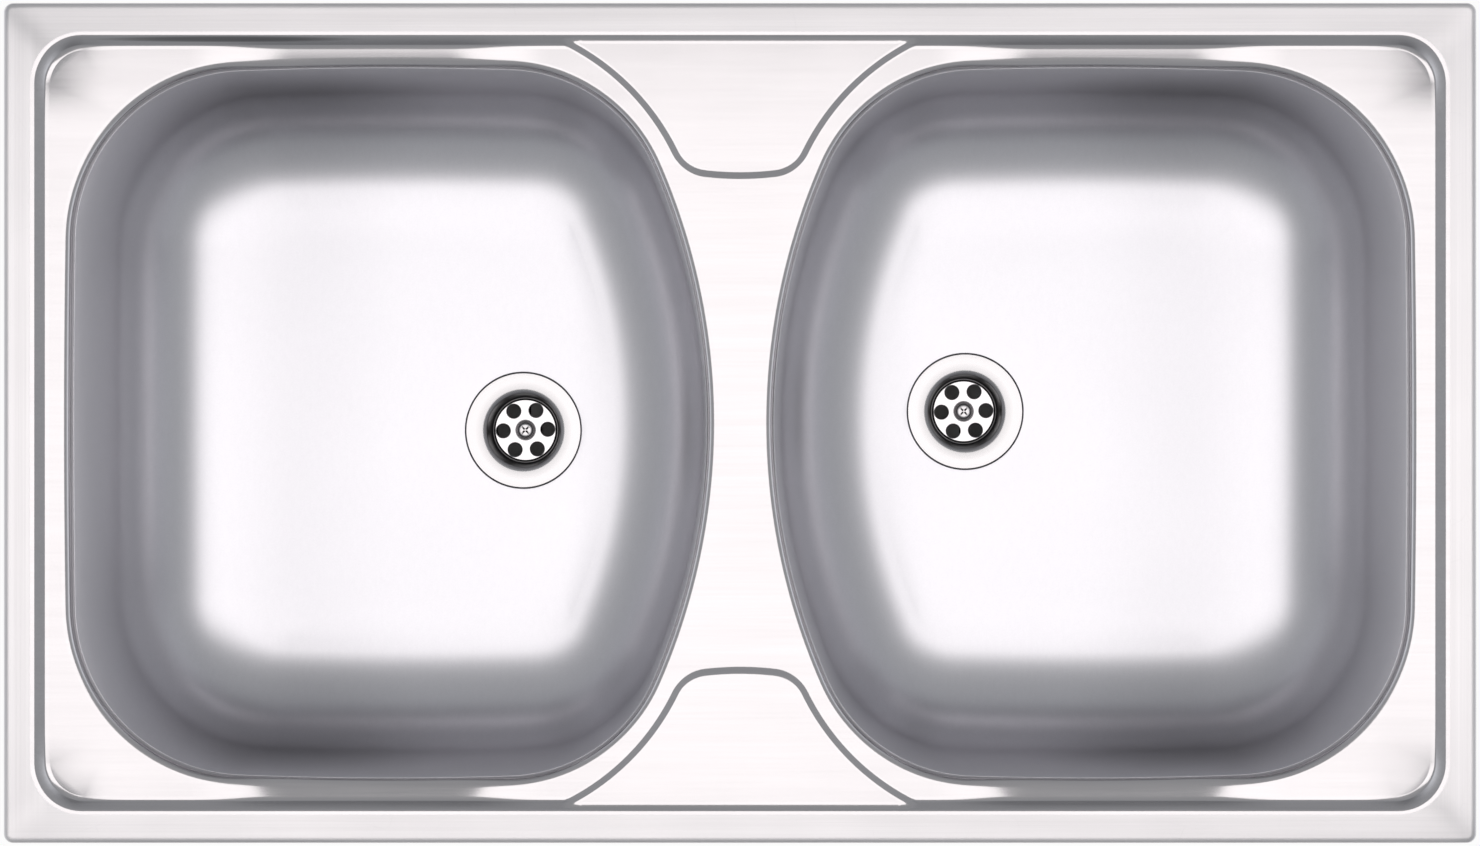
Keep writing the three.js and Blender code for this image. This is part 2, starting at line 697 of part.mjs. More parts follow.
const bowlShape = bowl();
const padShape = soundPad();
for (const [side, turn] of [["left", 0], ["right", Math.PI]]) {
  const half = new THREE.Group();
  half.rotation.z = turn;
  sink.add(half);
  place(`bowl_${side}`, bowlShape, satinSteel, half);
  place(`sound_pad_${side}`, padShape, greyPad, half);
  const fitting = new THREE.Group();
  fitting.position.set(waste[0], waste[1], flangeZ);
  half.add(fitting);
  place(`strainer_${side}`, strainer(), brightSteel, fitting);
  place(`flange_seal_${side}`, flangeSeal(), blackRubber, fitting);
  place(`strainer_screw_${side}`, wasteScrew(), brightSteel, fitting);
  place(`under_gasket_${side}`, underGasket(), blackRubber, fitting);
  place(`waste_body_${side}`, wasteBody(), darkPlastic, fitting);
  place(`thread_insert_${side}`, threadInsert(), brass, fitting);
}

// The corner clamps hang under the deck and the middle ones under the raised panels, each just clear of
// the foot of the step beside it. At rest a claw lies along the sink, those in the corners pointing outward.
const cornerClampY = sinkWidth / 2 - borderWidth - deckStepRun - bracketToStep - bracketWidth / 2;
const middleClampY = cornerClampY + deckStepRun - (panelDrop / deckDrop) * deckStepRun;
for (const [row, sideY] of [["front", -1], ["rear", 1]]) {
  for (const [column, sideX] of [["left", -1], ["middle", 0], ["right", 1]]) {
    const clamp = new THREE.Group();
    const middle = sideX === 0;
    clamp.position.set(
      sideX * (sinkLength / 2 - clampFromEnd),
      sideY * (middle ? middleClampY : cornerClampY),
      (middle ? panelZ : deckZ) - sheet,
    );
    clamp.rotation.z = sideX < 0 || (middle && sideY < 0) ? Math.PI : 0;
    sink.add(clamp);
    const tag = `${row}_${column}`;
    place(`clamp_bracket_${tag}`, clampBracket(), zincSteel, clamp);
    place(`clamp_screw_${tag}`, clampScrew(), zincSteel, clamp);
    place(`clamp_washer_${tag}`, clampWasher(), zincSteel, clamp);
    place(`clamp_claw_${tag}`, clampClaw(), zincSteel, clamp);
  }
}

export default sink;
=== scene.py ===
import math

import bmesh
import bpy
import numpy as np
from mathutils import Matrix, Vector
from mathutils.geometry import delaunay_2d_cdt


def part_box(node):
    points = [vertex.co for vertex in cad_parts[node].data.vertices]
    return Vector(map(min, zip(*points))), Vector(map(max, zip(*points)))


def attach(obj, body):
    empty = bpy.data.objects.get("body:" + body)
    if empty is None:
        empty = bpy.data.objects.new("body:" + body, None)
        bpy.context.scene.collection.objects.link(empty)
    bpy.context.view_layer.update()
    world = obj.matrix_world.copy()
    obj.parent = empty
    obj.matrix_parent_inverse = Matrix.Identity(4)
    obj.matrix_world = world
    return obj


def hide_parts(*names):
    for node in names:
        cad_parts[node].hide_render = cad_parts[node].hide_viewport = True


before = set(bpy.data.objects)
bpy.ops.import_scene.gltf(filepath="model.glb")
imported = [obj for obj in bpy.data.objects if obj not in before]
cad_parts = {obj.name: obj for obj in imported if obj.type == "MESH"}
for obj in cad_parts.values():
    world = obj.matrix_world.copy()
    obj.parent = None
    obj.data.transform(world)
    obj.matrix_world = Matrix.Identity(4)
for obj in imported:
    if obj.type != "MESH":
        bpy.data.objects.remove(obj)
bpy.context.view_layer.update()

scene = bpy.context.scene
scene.view_settings.view_transform = "Standard"
MM = 0.001

# ---- Studio -------------------------------------------------------------------------------------
# A pale floor just under the waste outlets, a wide soft box overhead and a grey room round it.
# The camera looks straight down, a little right of and behind the middle of the sink.

FLOOR_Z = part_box("waste_body_left")[0].z - 0.0003
SOFTBOX = (2.3, 1.3)
SOFTBOX_HEIGHT = 2.1
SOFTBOX_AT = (0, -0.08)
SOFTBOX_POWER = 12.0
CAMERA_AT = (0.024, 0.012, 1.456)
FRAME_WIDTH = 0.7832  # what the picture takes in at the height of the border
BORDER_TOP = 0.006
SENSOR = 36.0
FLOOR_HALF = 40.0
FLOOR_GLOW = 0.95  # how much of the floor's look is its own light, so that it stays white
SHADOW_HALF, SHADOW_EDGE = (0.36, 0.19), 0.06  # the floor under the sink doesn't glow


def node(tree, kind, inputs=(), **settings):
    """A node with its settings made and its inputs set or linked."""
    made = tree.nodes.new(kind)
    for key, value in settings.items():
        setattr(made, key, value)
    for key, value in dict(inputs).items():
        if isinstance(value, bpy.types.NodeSocket):
            tree.links.new(value, made.inputs[key])
        else:
            made.inputs[key].default_value = value
    return made


def maths(tree, operation, a, b=0.0):
    return node(tree, "ShaderNodeMath", {0: a, 1: b}, operation=operation).outputs[0]


def blend(tree, factor, a, b):
    """A colour between a and b."""
    mixed = node(tree, "ShaderNodeMix", {0: factor, 6: a, 7: b}, data_type="RGBA")
    return mixed.outputs[2]


def between(tree, factor, low, high, start=0.0, end=1.0, **settings):
    """A number from low, where the factor is at its start, to high, where it is at its end."""
    ranged = node(tree, "ShaderNodeMapRange", {
        "Value": factor, "From Min": start, "From Max": end, "To Min": low, "To Max": high}, **settings)
    return ranged.outputs[0]


def object_place(tree):
    """Where a point is on the object, for patterns that stay with it."""
    return node(tree, "ShaderNodeTexCoord").outputs["Object"]


def material(name):
    made = bpy.data.materials.new(name)
    made.use_nodes = True
    made.node_tree.nodes.clear()
    return made, made.node_tree


def surface(tree, shader):
    node(tree, "ShaderNodeOutputMaterial", {"Surface": shader.outputs[0]})


world = bpy.data.worlds.new("grey room")
scene.world = world
world.use_nodes = True
room = world.node_tree
room.nodes.clear()
direction = node(room, "ShaderNodeTexCoord").outputs["Generated"]
x, y, up = node(room, "ShaderNodeSeparateXYZ", {0: direction}).outputs


def tones(stops):
    """The room's brightness by height, from the horizon to straight above, a little cooler low down."""
    ramp = node(room, "ShaderNodeValToRGB", {0: up}).color_ramp
    ramp.elements.remove(ramp.elements[1])
    for at, tone in stops:
        stop = ramp.elements[0] if at == 0.0 else ramp.elements.new(at)
        stop.color = (tone * (0.965 + 0.02 * at), tone, tone * (1.06 - 0.04 * at), 1)
    return room.nodes[-1].outputs[0]


along_sink = tones(((0.0, 0.80), (0.08, 1.00), (0.22, 1.00), (0.36, 0.55),
                    (0.5, 0.42), (0.7, 0.45), (0.9, 0.48), (1.0, 0.46)))
across_sink = tones(((0.0, 0.24), (0.15, 0.20), (0.30, 0.31), (0.45, 0.42),
                     (0.65, 0.40), (0.8, 0.42), (0.93, 0.44), (1.0, 0.46)))
x2, y2 = maths(room, "MULTIPLY", x, x), maths(room, "MULTIPLY", y, y)
endways = maths(room, "DIVIDE", x2, maths(room, "ADD", maths(room, "ADD", x2, y2), 0.0001))
sky = blend(room, endways, across_sink, along_sink)
light = node(room, "ShaderNodeBackground", {"Color": sky, "Strength": 1.0})
node(room, "ShaderNodeOutputWorld", {"Surface": light.outputs[0]})

lamp = bpy.data.lights.new("softbox", "AREA")
lamp.shape = "RECTANGLE"
lamp.size, lamp.size_y = SOFTBOX
lamp.energy = SOFTBOX_POWER
lamp.color = (1.0, 0.96, 0.953)
softbox = bpy.data.objects.new("softbox", lamp)
softbox.location = (*SOFTBOX_AT, SOFTBOX_HEIGHT)
scene.collection.objects.link(softbox)

camera_data = bpy.data.cameras.new("camera")
camera = bpy.data.objects.new("camera", camera_data)
scene.collection.objects.link(camera)
camera.location = CAMERA_AT
camera_data.sensor_width = SENSOR
camera_data.lens = SENSOR * (CAMERA_AT[2] - BORDER_TOP) / FRAME_WIDTH
camera_data.shift_x = -CAMERA_AT[0] / FRAME_WIDTH
camera_data.shift_y = -CAMERA_AT[1] / FRAME_WIDTH
scene.camera = camera

paper, tree = material("pale floor")
rays = node(tree, "ShaderNodeLightPath").outputs
seen = maths(tree, "MAXIMUM", maths(tree, "MAXIMUM", rays["Is Camera Ray"], rays["Is Glossy Ray"]),
             rays["Is Transmission Ray"])
x, y, _ = node(tree, "ShaderNodeSeparateXYZ", {0: object_place(tree)}).outputs
beside = maths(tree, "MAXIMUM", maths(tree, "SUBTRACT", maths(tree, "ABSOLUTE", x), SHADOW_HALF[0]),
               maths(tree, "SUBTRACT", maths(tree, "ABSOLUTE", y), SHADOW_HALF[1]))
seen = maths(tree, "MULTIPLY", seen, between(tree, beside, 0.0, 1.0, end=SHADOW_EDGE))
matte = node(tree, "ShaderNodeBsdfPrincipled", {"Base Color": (0.86, 0.86, 0.86, 1), "Roughness": 0.9})
glow = node(tree, "ShaderNodeEmission", {"Color": (1, 1, 1, 1), "Strength": 1.0})
surface(tree, node(tree, "ShaderNodeMixShader", {0: maths(tree, "MULTIPLY", seen, FLOOR_GLOW),
                                                 1: matte.outputs[0], 2: glow.outputs[0]}))
floor_mesh = bpy.data.meshes.new("floor")
floor_corners = [(x * FLOOR_HALF, y * FLOOR_HALF, FLOOR_Z) for x, y in ((-1, -1), (1, -1), (1, 1), (-1, 1))]
floor_mesh.from_pydata(floor_corners, [], [(0, 1, 2, 3)])
floor = bpy.data.objects.new("floor", floor_mesh)
scene.collection.objects.link(floor)
floor_mesh.materials.append(paper)

# ---- Deck pressing ------------------------------------------------------------------------------
# One blank of 0.8 mm stainless sheet: a raised brushed border with its edge turned down, a step to
# the deck, two raised panels, and a collar rolled down round each bowl opening. All sizes in mm.

SHEET = 0.8
LENGTH, WIDTH = 780.0, 445.0
OUTER_CORNER = 5.0
RIM_Z = 6.0
CROWN_RUN, CROWN_FALL = 3.2, 1.7
BORDER = 16.4
STEP_CORNER = 26.0
DECK_DROP, STEP_RUN = 4.2, 6.72
PANEL_RISE, PANEL_RUN = 2.1, 3.36
STEP_ANGLE, PANEL_ANGLE, EASY_ANGLE = math.radians(38), math.radians(31), math.radians(12)
DECK_Z = RIM_Z - DECK_DROP
BRIDGE = 35.6
STEP_FOOT = DECK_DROP / math.tan(math.radians(32))  # from the border to the strip beside a bowl
STRIP_END, STRIP_LONG = 7.1, 5.9  # deck between the step and the roll into a bowl
RIM_BEND = 4.0
ROLL_REACH, ROLL_DEPTH = 5.0, 6.0  # the roll into a bowl is softer than a quarter circle
ROLL_PULL, ROLL_START = 0.45, 1.3  # how soft, and how much steeper it starts than the strip
COLLAR_DEPTH = 8.0
WELD_Z = DECK_Z - COLLAR_DEPTH
BOWL_LENGTH = (LENGTH - BRIDGE) / 2 - BORDER - STEP_FOOT - STRIP_END - RIM_BEND
BOWL_WIDTH = WIDTH - 2 * (BORDER + STEP_FOOT + STRIP_LONG + RIM_BEND)
INNER_SIDE, END_SIDE, OUTER_SIDE = 342.0, 2000.0, 6000.0
INNER_CORNER, OUTER_CORNER_BOWL = 86.0, 91.0
PANEL_SIDE, PANEL_NOSE, PANEL_CORNER = 126.0, 162.0, 22.0
PANEL_BACK, PANEL_IN, PANEL_REACH = 24.0, 15.0, 93.0


def arc(centre, radius, start, end, steps):
    """Points along an arc, without the last one."""
    turn = start + (end - start) * np.arange(steps) / steps
    return np.stack([centre[0] + radius * np.cos(turn), centre[1] + radius * np.sin(turn)], 1)


CORNER_STEPS, SIDE_SPACING = 14, 6.0


def rounded_rectangle(inset, corner):
    """The sink's outline taken in, with stations along its straight sides too."""
    x, y = LENGTH / 2 - inset - corner, WIDTH / 2 - inset - corner
    ring = []
    ends = ((x, y), (-x, y), (-x, -y), (x, -y))
    for i, centre in enumerate(ends):
        turned = (i + 1) * math.pi / 2
        ring.append(arc(centre, corner, i * math.pi / 2, turned, CORNER_STEPS))
        out = corner * np.array([math.cos(turned), math.sin(turned)])
        start, end = np.array(centre) + out, np.array(ends[(i + 1) % 4]) + out
        count = int(((LENGTH if i % 2 == 0 else WIDTH) - 2 * STEP_CORNER) / SIDE_SPACING)
        share = np.arange(count)[:, None] / count
        ring.append(start + (end - start) * share)
    return np.concatenate(ring)


def meeting(a, ra, b, rb, side):
    """The point at given distances from two centres, left (1) or right (-1) of the way from a to b."""
    a, b = np.array(a), np.array(b)
    apart = np.linalg.norm(b - a)
    along = (ra * ra - rb * rb + apart * apart) / (2 * apart)
    across = math.sqrt(ra * ra - along * along)
    u = (b - a) / apart
    return a + u * along + side * across * np.array([-u[1], u[0]])


def angle_to(a, b):
    return math.atan2(b[1] - a[1], b[0] - a[0])


BOWL_INNER = -BRIDGE / 2
BOWL_OUTER = BOWL_INNER - BOWL_LENGTH
inner_centre = (BOWL_INNER - INNER_SIDE, 0)
outer_centre = (BOWL_OUTER + OUTER_SIDE, 0)
end_centre = ((BOWL_INNER + BOWL_OUTER) / 2, BOWL_WIDTH / 2 - END_SIDE)
inner_corner = meeting(inner_centre, INNER_SIDE - INNER_CORNER, end_centre, END_SIDE - INNER_CORNER, 1)
outer_corner = meeting(outer_centre, OUTER_SIDE - OUTER_CORNER_BOWL, end_centre, END_SIDE - OUTER_CORNER_BOWL,
                       -1)


def bowl_outline(inset):
    """The left bowl's wall line taken in, with the same stations at every inset."""
    turns = [angle_to(inner_centre, inner_corner), angle_to(end_centre, inner_corner),
             angle_to(end_centre, outer_corner), angle_to(outer_centre, outer_corner)]
    rear = np.concatenate([
        arc(inner_centre, INNER_SIDE - inset, 0, turns[0], 26),
        arc(inner_corner, INNER_CORNER - inset, turns[0], turns[1], 34),
        arc(end_centre, END_SIDE - inset, turns[1], turns[2], 28),
        arc(outer_corner, OUTER_CORNER_BOWL - inset, turns[2], turns[3], 34),
        arc(outer_centre, OUTER_SIDE - inset, turns[3], math.pi, 22)])
    last = np.array([[BOWL_OUTER + inset, 0]])
    return np.concatenate([rear, last, rear[:0:-1] * (1, -1)])


side_centre = (inner_corner[0] - PANEL_BACK, inner_corner[1] - PANEL_IN)
nose_centre = (0, WIDTH / 2 - PANEL_REACH + PANEL_NOSE)
reach_side, reach_nose = PANEL_SIDE + PANEL_CORNER, PANEL_NOSE - PANEL_CORNER
corner_centre = meeting(side_centre, reach_side, nose_centre, reach_nose, -1)


def panel_outline(inset, top):
    """The rear panel's foot taken in, from the step on one side round the nose to the other."""
    side, nose, corner = PANEL_SIDE + inset, PANEL_NOSE - inset, PANEL_CORNER - inset
    meet, nose_turn = angle_to(side_centre, corner_centre), angle_to(nose_centre, corner_centre)
    first = math.asin((top - side_centre[1]) / side)
    left = np.concatenate([
        arc(side_centre, side, first, meet, 44),
        arc(corner_centre, corner, meet + math.pi, nose_turn + 2 * math.pi, 16),
        arc(nose_centre, nose, nose_turn, -math.pi / 2, 14),
        [[0, nose_centre[1] - nose]]])
    return np.concatenate([left, left[-2::-1] * (-1, 1)])


def inside_panel(x, y):
    """How far a point is inside the nearer panel's foot."""
    turned = y < 0
    x, y = np.where(turned, -x, x), np.where(turned, -y, y)
    x = -np.abs(x)
    from_side = np.hypot(x - side_centre[0], y - side_centre[1]) - PANEL_SIDE
    from_nose = PANEL_NOSE - np.hypot(x - nose_centre[0], y - nose_centre[1])
    from_corner = PANEL_CORNER - np.hypot(x - corner_centre[0], y - corner_centre[1])
    a = np.subtract(side_centre, corner_centre) / reach_side
    b = np.subtract(corner_centre, nose_centre) / reach_nose
    px, py = x - corner_centre[0], y - corner_centre[1]
    turn = a[0] * b[1] - a[1] * b[0]
    share_a, share_b = (px * b[1] - py * b[0]) / turn, (a[0] * py - a[1] * px) / turn
    rounded = (share_a > 0) & (share_b > 0)
    return np.where(rounded, from_corner, np.minimum(from_side, from_nose))


END_STRETCH = 1.0027  # the step lies 1 mm nearer to the edge at the two ends


def inside_border(x, y):
    """How far a point is inside the line where the border ends and the step begins."""
    x = x / END_STRETCH
    hx, hy = LENGTH / 2 - BORDER - STEP_CORNER, WIDTH / 2 - BORDER - STEP_CORNER
    qx, qy = np.abs(x) - hx, np.abs(y) - hy
    outside = np.hypot(np.maximum(qx, 0), np.maximum(qy, 0)) + np.minimum(np.maximum(qx, qy), 0)
    return STEP_CORNER - outside


def pressed_step(drop, run, easy, tight, steepest):
    """Distances and depths down a step: an easy bend, a tighter one, a straight slope and the same back."""
    share = np.linspace(0, 1, 61)
    reach = np.concatenate([easy * share[:-1], easy + tight * share])
    tilt = np.tan(np.concatenate([EASY_ANGLE * share[:-1], EASY_ANGLE + (steepest - EASY_ANGLE) * share]))
    fallen = np.concatenate([[0], np.cumsum(np.diff(reach) * (tilt[1:] + tilt[:-1]) / 2)])
    total = 2 * (easy + tight) + (drop - 2 * fallen[-1]) / math.tan(steepest)
    start = (run - total) / 2
    distances = np.concatenate([reach, total - reach[::-1]]) + start
    return distances, np.concatenate([fallen, drop - fallen[::-1]])


STEP_BENDS, PANEL_BENDS = (1.7, 0.9), (1.0, 0.6)  # how far the easy and the tighter bend reach
BORDER_STEP = pressed_step(DECK_DROP, STEP_RUN, *STEP_BENDS, STEP_ANGLE)
PANEL_STEP = pressed_step(PANEL_RISE, PANEL_RUN, *PANEL_BENDS, PANEL_ANGLE)


def bend_stations(step):
    """Offsets at which the mesh follows a step's bends, with a guard line on either side."""
    last, guard = len(step[0]) - 1, 0.4
    down = [0, 12, 24, 36, 48, 60, 75, 90, 105, 120]
    picked = step[0][down + [last - i for i in down[::-1]]]
    return np.concatenate([[picked[0] - guard], picked, [picked[-1] + guard]])


FRONT_SLOPE, REAR_SLOPE = 0.30, 0.255  # the strips beside the middle of a bowl already slope towards it
SLOPE_MIDDLE, SLOPE_HALF, SLOPE_FADE, SLOPE_BEYOND = 197.0, 95.0, 55.0, 120.0
SLOPE_FROM, SLOPE_OVER, SLOPE_CURVE = 5.0, 13.0, 90.0
POCKET_SINK, POCKET_REACH, POCKET_AT, POCKET_FADE = 2.4, 44.0, 22.0, 4.0  # the deck sinks into its corners
RUN_IN = 1.1  # how softly a panel's edge runs into the step


def strip_slope(x, y):
    """How steeply the strip at a point falls towards its bowl."""
    beside = np.clip((SLOPE_HALF - np.abs(np.abs(x) - SLOPE_MIDDLE)) / SLOPE_FADE, 0, 1)
    beside = beside * (np.abs(y) > SLOPE_BEYOND)
    return np.where(y < 0, FRONT_SLOPE, REAR_SLOPE) * beside ** 2 * (3 - 2 * beside)


def deck_height(x, y):
    """The height of the sheet's upper face, from the border in to the brink of a bowl."""
    inward = inside_border(x, y)
    step = DECK_DROP - np.interp(inward, *BORDER_STEP)
    panel = np.interp(inside_panel(x, y), *PANEL_STEP)
    low, high = np.minimum(step, panel), np.maximum(step, panel)
    soft = np.maximum(np.minimum(RUN_IN, 2 * RUN_IN * low), 1e-6)
    meet = np.maximum(soft - (high - low), 0) / soft
    inner = np.clip(inward - SLOPE_FROM, 0, SLOPE_OVER)
    lean = strip_slope(x, y) * inner * (1 + inner / SLOPE_CURVE)
    from_corner = np.hypot(np.abs(x) - LENGTH / 2 + POCKET_AT, np.abs(y) - WIDTH / 2 + POCKET_AT)
    sink = POCKET_SINK * np.clip(1 - from_corner / POCKET_REACH, 0, 1) ** 2
    sink *= np.clip((inward - POCKET_FADE) / POCKET_FADE, 0, 1)
    return DECK_Z + high + meet ** 2 * soft / 4 - lean - sink


def make_piece(name, points, faces, *materials):
    """A smooth-shaded object from points in mm, with its faces turned outwards."""
    mesh = bpy.data.meshes.new(name)
    mesh.from_pydata((np.asarray(points, float) * MM).tolist(), [], [tuple(map(int, f)) for f in faces])
    for each in materials:
        mesh.materials.append(each)
    worked = bmesh.new()
    worked.from_mesh(mesh)
    bmesh.ops.recalc_face_normals(worked, faces=worked.faces)
    worked.to_mesh(mesh)
    worked.free()
    mesh.polygons.foreach_set("use_smooth", [True] * len(mesh.polygons))
    made = bpy.data.objects.new(name, mesh)
    scene.collection.objects.link(made)
    return made


def ring_faces(first, second):
    """Quads between two rings of vertex numbers."""
    return [(a, b, c, d) for a, b, c, d in zip(first, np.roll(first, -1), np.roll(second, -1), second)]


def gathered(items, key):
    """Rows of three numbers read from a mesh's vertices or normals."""
    flat = np.zeros(len(items) * 3)
    items.foreach_get(key, flat)
    return flat.reshape(-1, 3)


def paint(piece, name, values, domain="POINT"):
    """A named value at each of a piece's vertices or faces, which its material reads."""
    made = piece.data.attributes.new(name, "FLOAT", domain)
    made.data.foreach_set("value", np.asarray(values, float))


def settle(piece, cad_node, body="sink"):
    """Hides the CAD solid that a piece stands for, and hangs the piece on the body that carries it."""
    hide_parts(cad_node)
    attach(piece, body)


# The plan is triangulated between lines that follow every bend, and each point then gets its height.
flat_points, flat_edges = [], []


def add_line(curve, closed=True):
    first = sum(len(p) for p in flat_points)
    flat_points.append(curve)
    numbers = np.arange(first, first + len(curve))
    last = len(curve) if closed else len(curve) - 1
    flat_edges.extend((numbers[i], numbers[(i + 1) % len(curve)]) for i in range(last))
    return numbers


CROWN_START = CROWN_RUN + 0.15
crown_line = add_line(rounded_rectangle(CROWN_START, OUTER_CORNER - CROWN_START))
for offset in (CROWN_RUN + 0.8, BORDER - 3.5):  # two lines over the flat of the border
    add_line(rounded_rectangle(offset, 2 + STEP_CORNER * (offset / BORDER) ** 3))
for offset in bend_stations(BORDER_STEP):
    add_line(rounded_rectangle(BORDER + offset, STEP_CORNER - offset) * (END_STRETCH, 1))
panel_top = WIDTH / 2 - BORDER - 2.0
for offset in bend_stations(PANEL_STEP):
    line = panel_outline(offset, panel_top)
    add_line(line, closed=False)
    add_line(-line, closed=False)
openings = [add_line(sign * bowl_outline(-ROLL_REACH)) for sign in (1, -1)]
for sign in (1, -1):
    add_line(sign * bowl_outline(-ROLL_REACH - 0.35))
plan = np.concatenate(flat_points)
found, _, triangles, origin, _, _ = delaunay_2d_cdt(
    [Vector(p) for p in plan.tolist()], [(int(a), int(b)) for a, b in flat_edges], [], 0, 1e-5)
found = np.array([tuple(p) for p in found])
renumbered = {old: new for new, olds in enumerate(origin) for old in olds}


def inside(polygon, points):
    x, y = points[:, 0][:, None], points[:, 1][:, None]
    ax, ay = polygon[:, 0][None], polygon[:, 1][None]
    bx, by = np.roll(ax, -1), np.roll(ay, -1)
    crossing = ((ay > y) != (by > y)) & (x < (bx - ax) * (y - ay) / (by - ay + 1e-30) + ax)
    return crossing.sum(1) % 2 == 1


triangles = np.array([t for t in triangles if len(t) == 3])
middle = found[triangles].mean(1)
kept = ~inside(plan[openings[0]], middle) & ~inside(plan[openings[1]], middle)
a, b, c = (found[triangles[:, i]] for i in range(3))
area = (b[:, 0] - a[:, 0]) * (c[:, 1] - a[:, 1]) - (b[:, 1] - a[:, 1]) * (c[:, 0] - a[:, 0])
triangles = triangles[kept & (np.abs(area) > 1e-6)]
top_z = deck_height(found[:, 0], found[:, 1])
count = len(found)
points = [np.column_stack([found, top_z]), np.column_stack([found, top_z - SHEET])]
faces = [tuple(t) for t in triangles] + [tuple(t[::-1] + count) for t in triangles]


def add_ring(outline, z):
    first = sum(len(p) for p in points)
    points.append(np.column_stack([outline, np.zeros(len(outline)) + z]))
    return np.arange(first, first + len(outline))


def add_skin(start, sections, end):
    """Rings of faces from one ring of vertices through each (outline, height) to another."""
    rings = [start] + [add_ring(outline, z) for outline, z in sections] + [end]
    for first, second in zip(rings, rings[1:]):
        faces.extend(ring_faces(first, second))


def edge(inset):
    return rounded_rectangle(inset, OUTER_CORNER - inset)


quarter = np.radians(np.linspace(0, 90, 11))
crown_start = np.array([renumbered[i] for i in crown_line])
crown = [(edge(CROWN_RUN * (1 - math.sin(t))), RIM_Z - CROWN_FALL * (1 - math.cos(t))) for t in quarter]
lip = [(0, 0.55), (0.12, 0.37), (0.35, 0.3), (0.5, 0.3), (0.68, 0.37), (SHEET, 0.55)]
under = [(edge(SHEET + (CROWN_RUN - SHEET) * (1 - math.sin(t))),
          RIM_Z - SHEET - (CROWN_FALL - SHEET / 2) * (1 - math.cos(t))) for t in quarter[::-1]]
add_skin(crown_start, crown + [(edge(i), z) for i, z in lip] + under, crown_start + count)

for sign, opening in zip((1, -1), openings):
    opening_start = np.array([renumbered[i] for i in opening])
    brink = sign * bowl_outline(-ROLL_REACH)
    lift, slope = deck_height(*brink.T) - DECK_Z, ROLL_START * strip_slope(*brink.T)
    rolled, behind = [], []
    for t in quarter[1:]:
        s = t / quarter[-1]
        first, second, third, last = (1 - s) ** 3, 3 * (1 - s) ** 2 * s, 3 * (1 - s) * s * s, s ** 3
        inset = -ROLL_REACH * (first + ROLL_PULL * second)
        z = (DECK_Z + lift * (first + second + (1 - ROLL_PULL) * third)
             - (1 - ROLL_PULL) * ROLL_REACH * slope * second - ROLL_DEPTH * (ROLL_PULL * third + last))
        rolled.append((inset, z))
        behind.insert(0, (inset - SHEET * math.sin(t), z - SHEET * math.cos(t)))
    collar = [(0, WELD_Z + 0.25), (-0.15, WELD_Z), (-0.65, WELD_Z), (-SHEET, WELD_Z + 0.15)]
    sections = [(sign * bowl_outline(i), z) for i, z in rolled + collar + behind]
    add_skin(opening_start, sections, opening_start + count)

points = np.concatenate(points)
used = np.unique(np.concatenate([np.ravel(f) for f in faces]))
renumber = np.zeros(len(points), int)
renumber[used] = np.arange(len(used))
points = points[used]
faces = [tuple(renumber[list(f)]) for f in faces]


def noise(tree, place, scale, detail, roughness=0.5):
    """A slow or fine unevenness, mostly between a third and two thirds."""
    return node(tree, "ShaderNodeTexNoise", {
        "Vector": place, "Scale": scale, "Detail": detail, "Roughness": roughness}).outputs[0]


def weighed(tree, a, share_a, b, share_b):
    """The sum of two numbers, each times its share."""
    return maths(tree, "ADD", maths(tree, "MULTIPLY", a, share_a), maths(tree, "MULTIPLY", b, share_b))


def finish(tree, colour, roughness, height, depth, **others):
    """Ends a material with its colour, its roughness and a relief of a depth in mm."""
    bump = node(tree, "ShaderNodeBump", {"Strength": 1.0, "Distance": depth * MM, "Height": height})
    surface(tree, node(tree, "ShaderNodeBsdfPrincipled", {
        "Base Color": colour, "Roughness": roughness, "Normal": bump.outputs[0],
        **{label.replace("_", " "): value for label, value in others.items()}}))


def group(name, inputs, outputs):
    """An empty shader node group with its named inputs and outputs."""
    made = bpy.data.node_groups.new(name, "ShaderNodeTree")
    for label, kind, value in inputs:
        socket = made.interface.new_socket(name=label, in_out="INPUT", socket_type=kind)
        socket.default_value = value
    for label, kind in outputs:
        made.interface.new_socket(name=label, in_out="OUTPUT", socket_type=kind)
    return made, node(made, "NodeGroupInput").outputs


# Brushing is drawn as noise stretched along the strokes: fine lines, and broad bands among them.
brushing, given = group(
    "brush strokes",
    [("Vector", "NodeSocketVector", (0, 0, 0)), ("Frequency", "NodeSocketVector", (8, 900, 900))],
    [("Stroke", "NodeSocketFloat"), ("Band", "NodeSocketFloat")])
stretched = node(brushing, "ShaderNodeVectorMath", {0: given["Vector"], 1: given["Frequency"]},
                 operation="MULTIPLY")
slow = node(brushing, "ShaderNodeVectorMath", {0: stretched.outputs[0], 1: (0.35, 0.16, 0.16)},
            operation="MULTIPLY")
node(brushing, "NodeGroupOutput", {"Stroke": noise(brushing, stretched.outputs[0], 1.0, 4.0, 0.62),
                                   "Band": noise(brushing, slow.outputs[0], 1.0, 3.0, 0.55)})

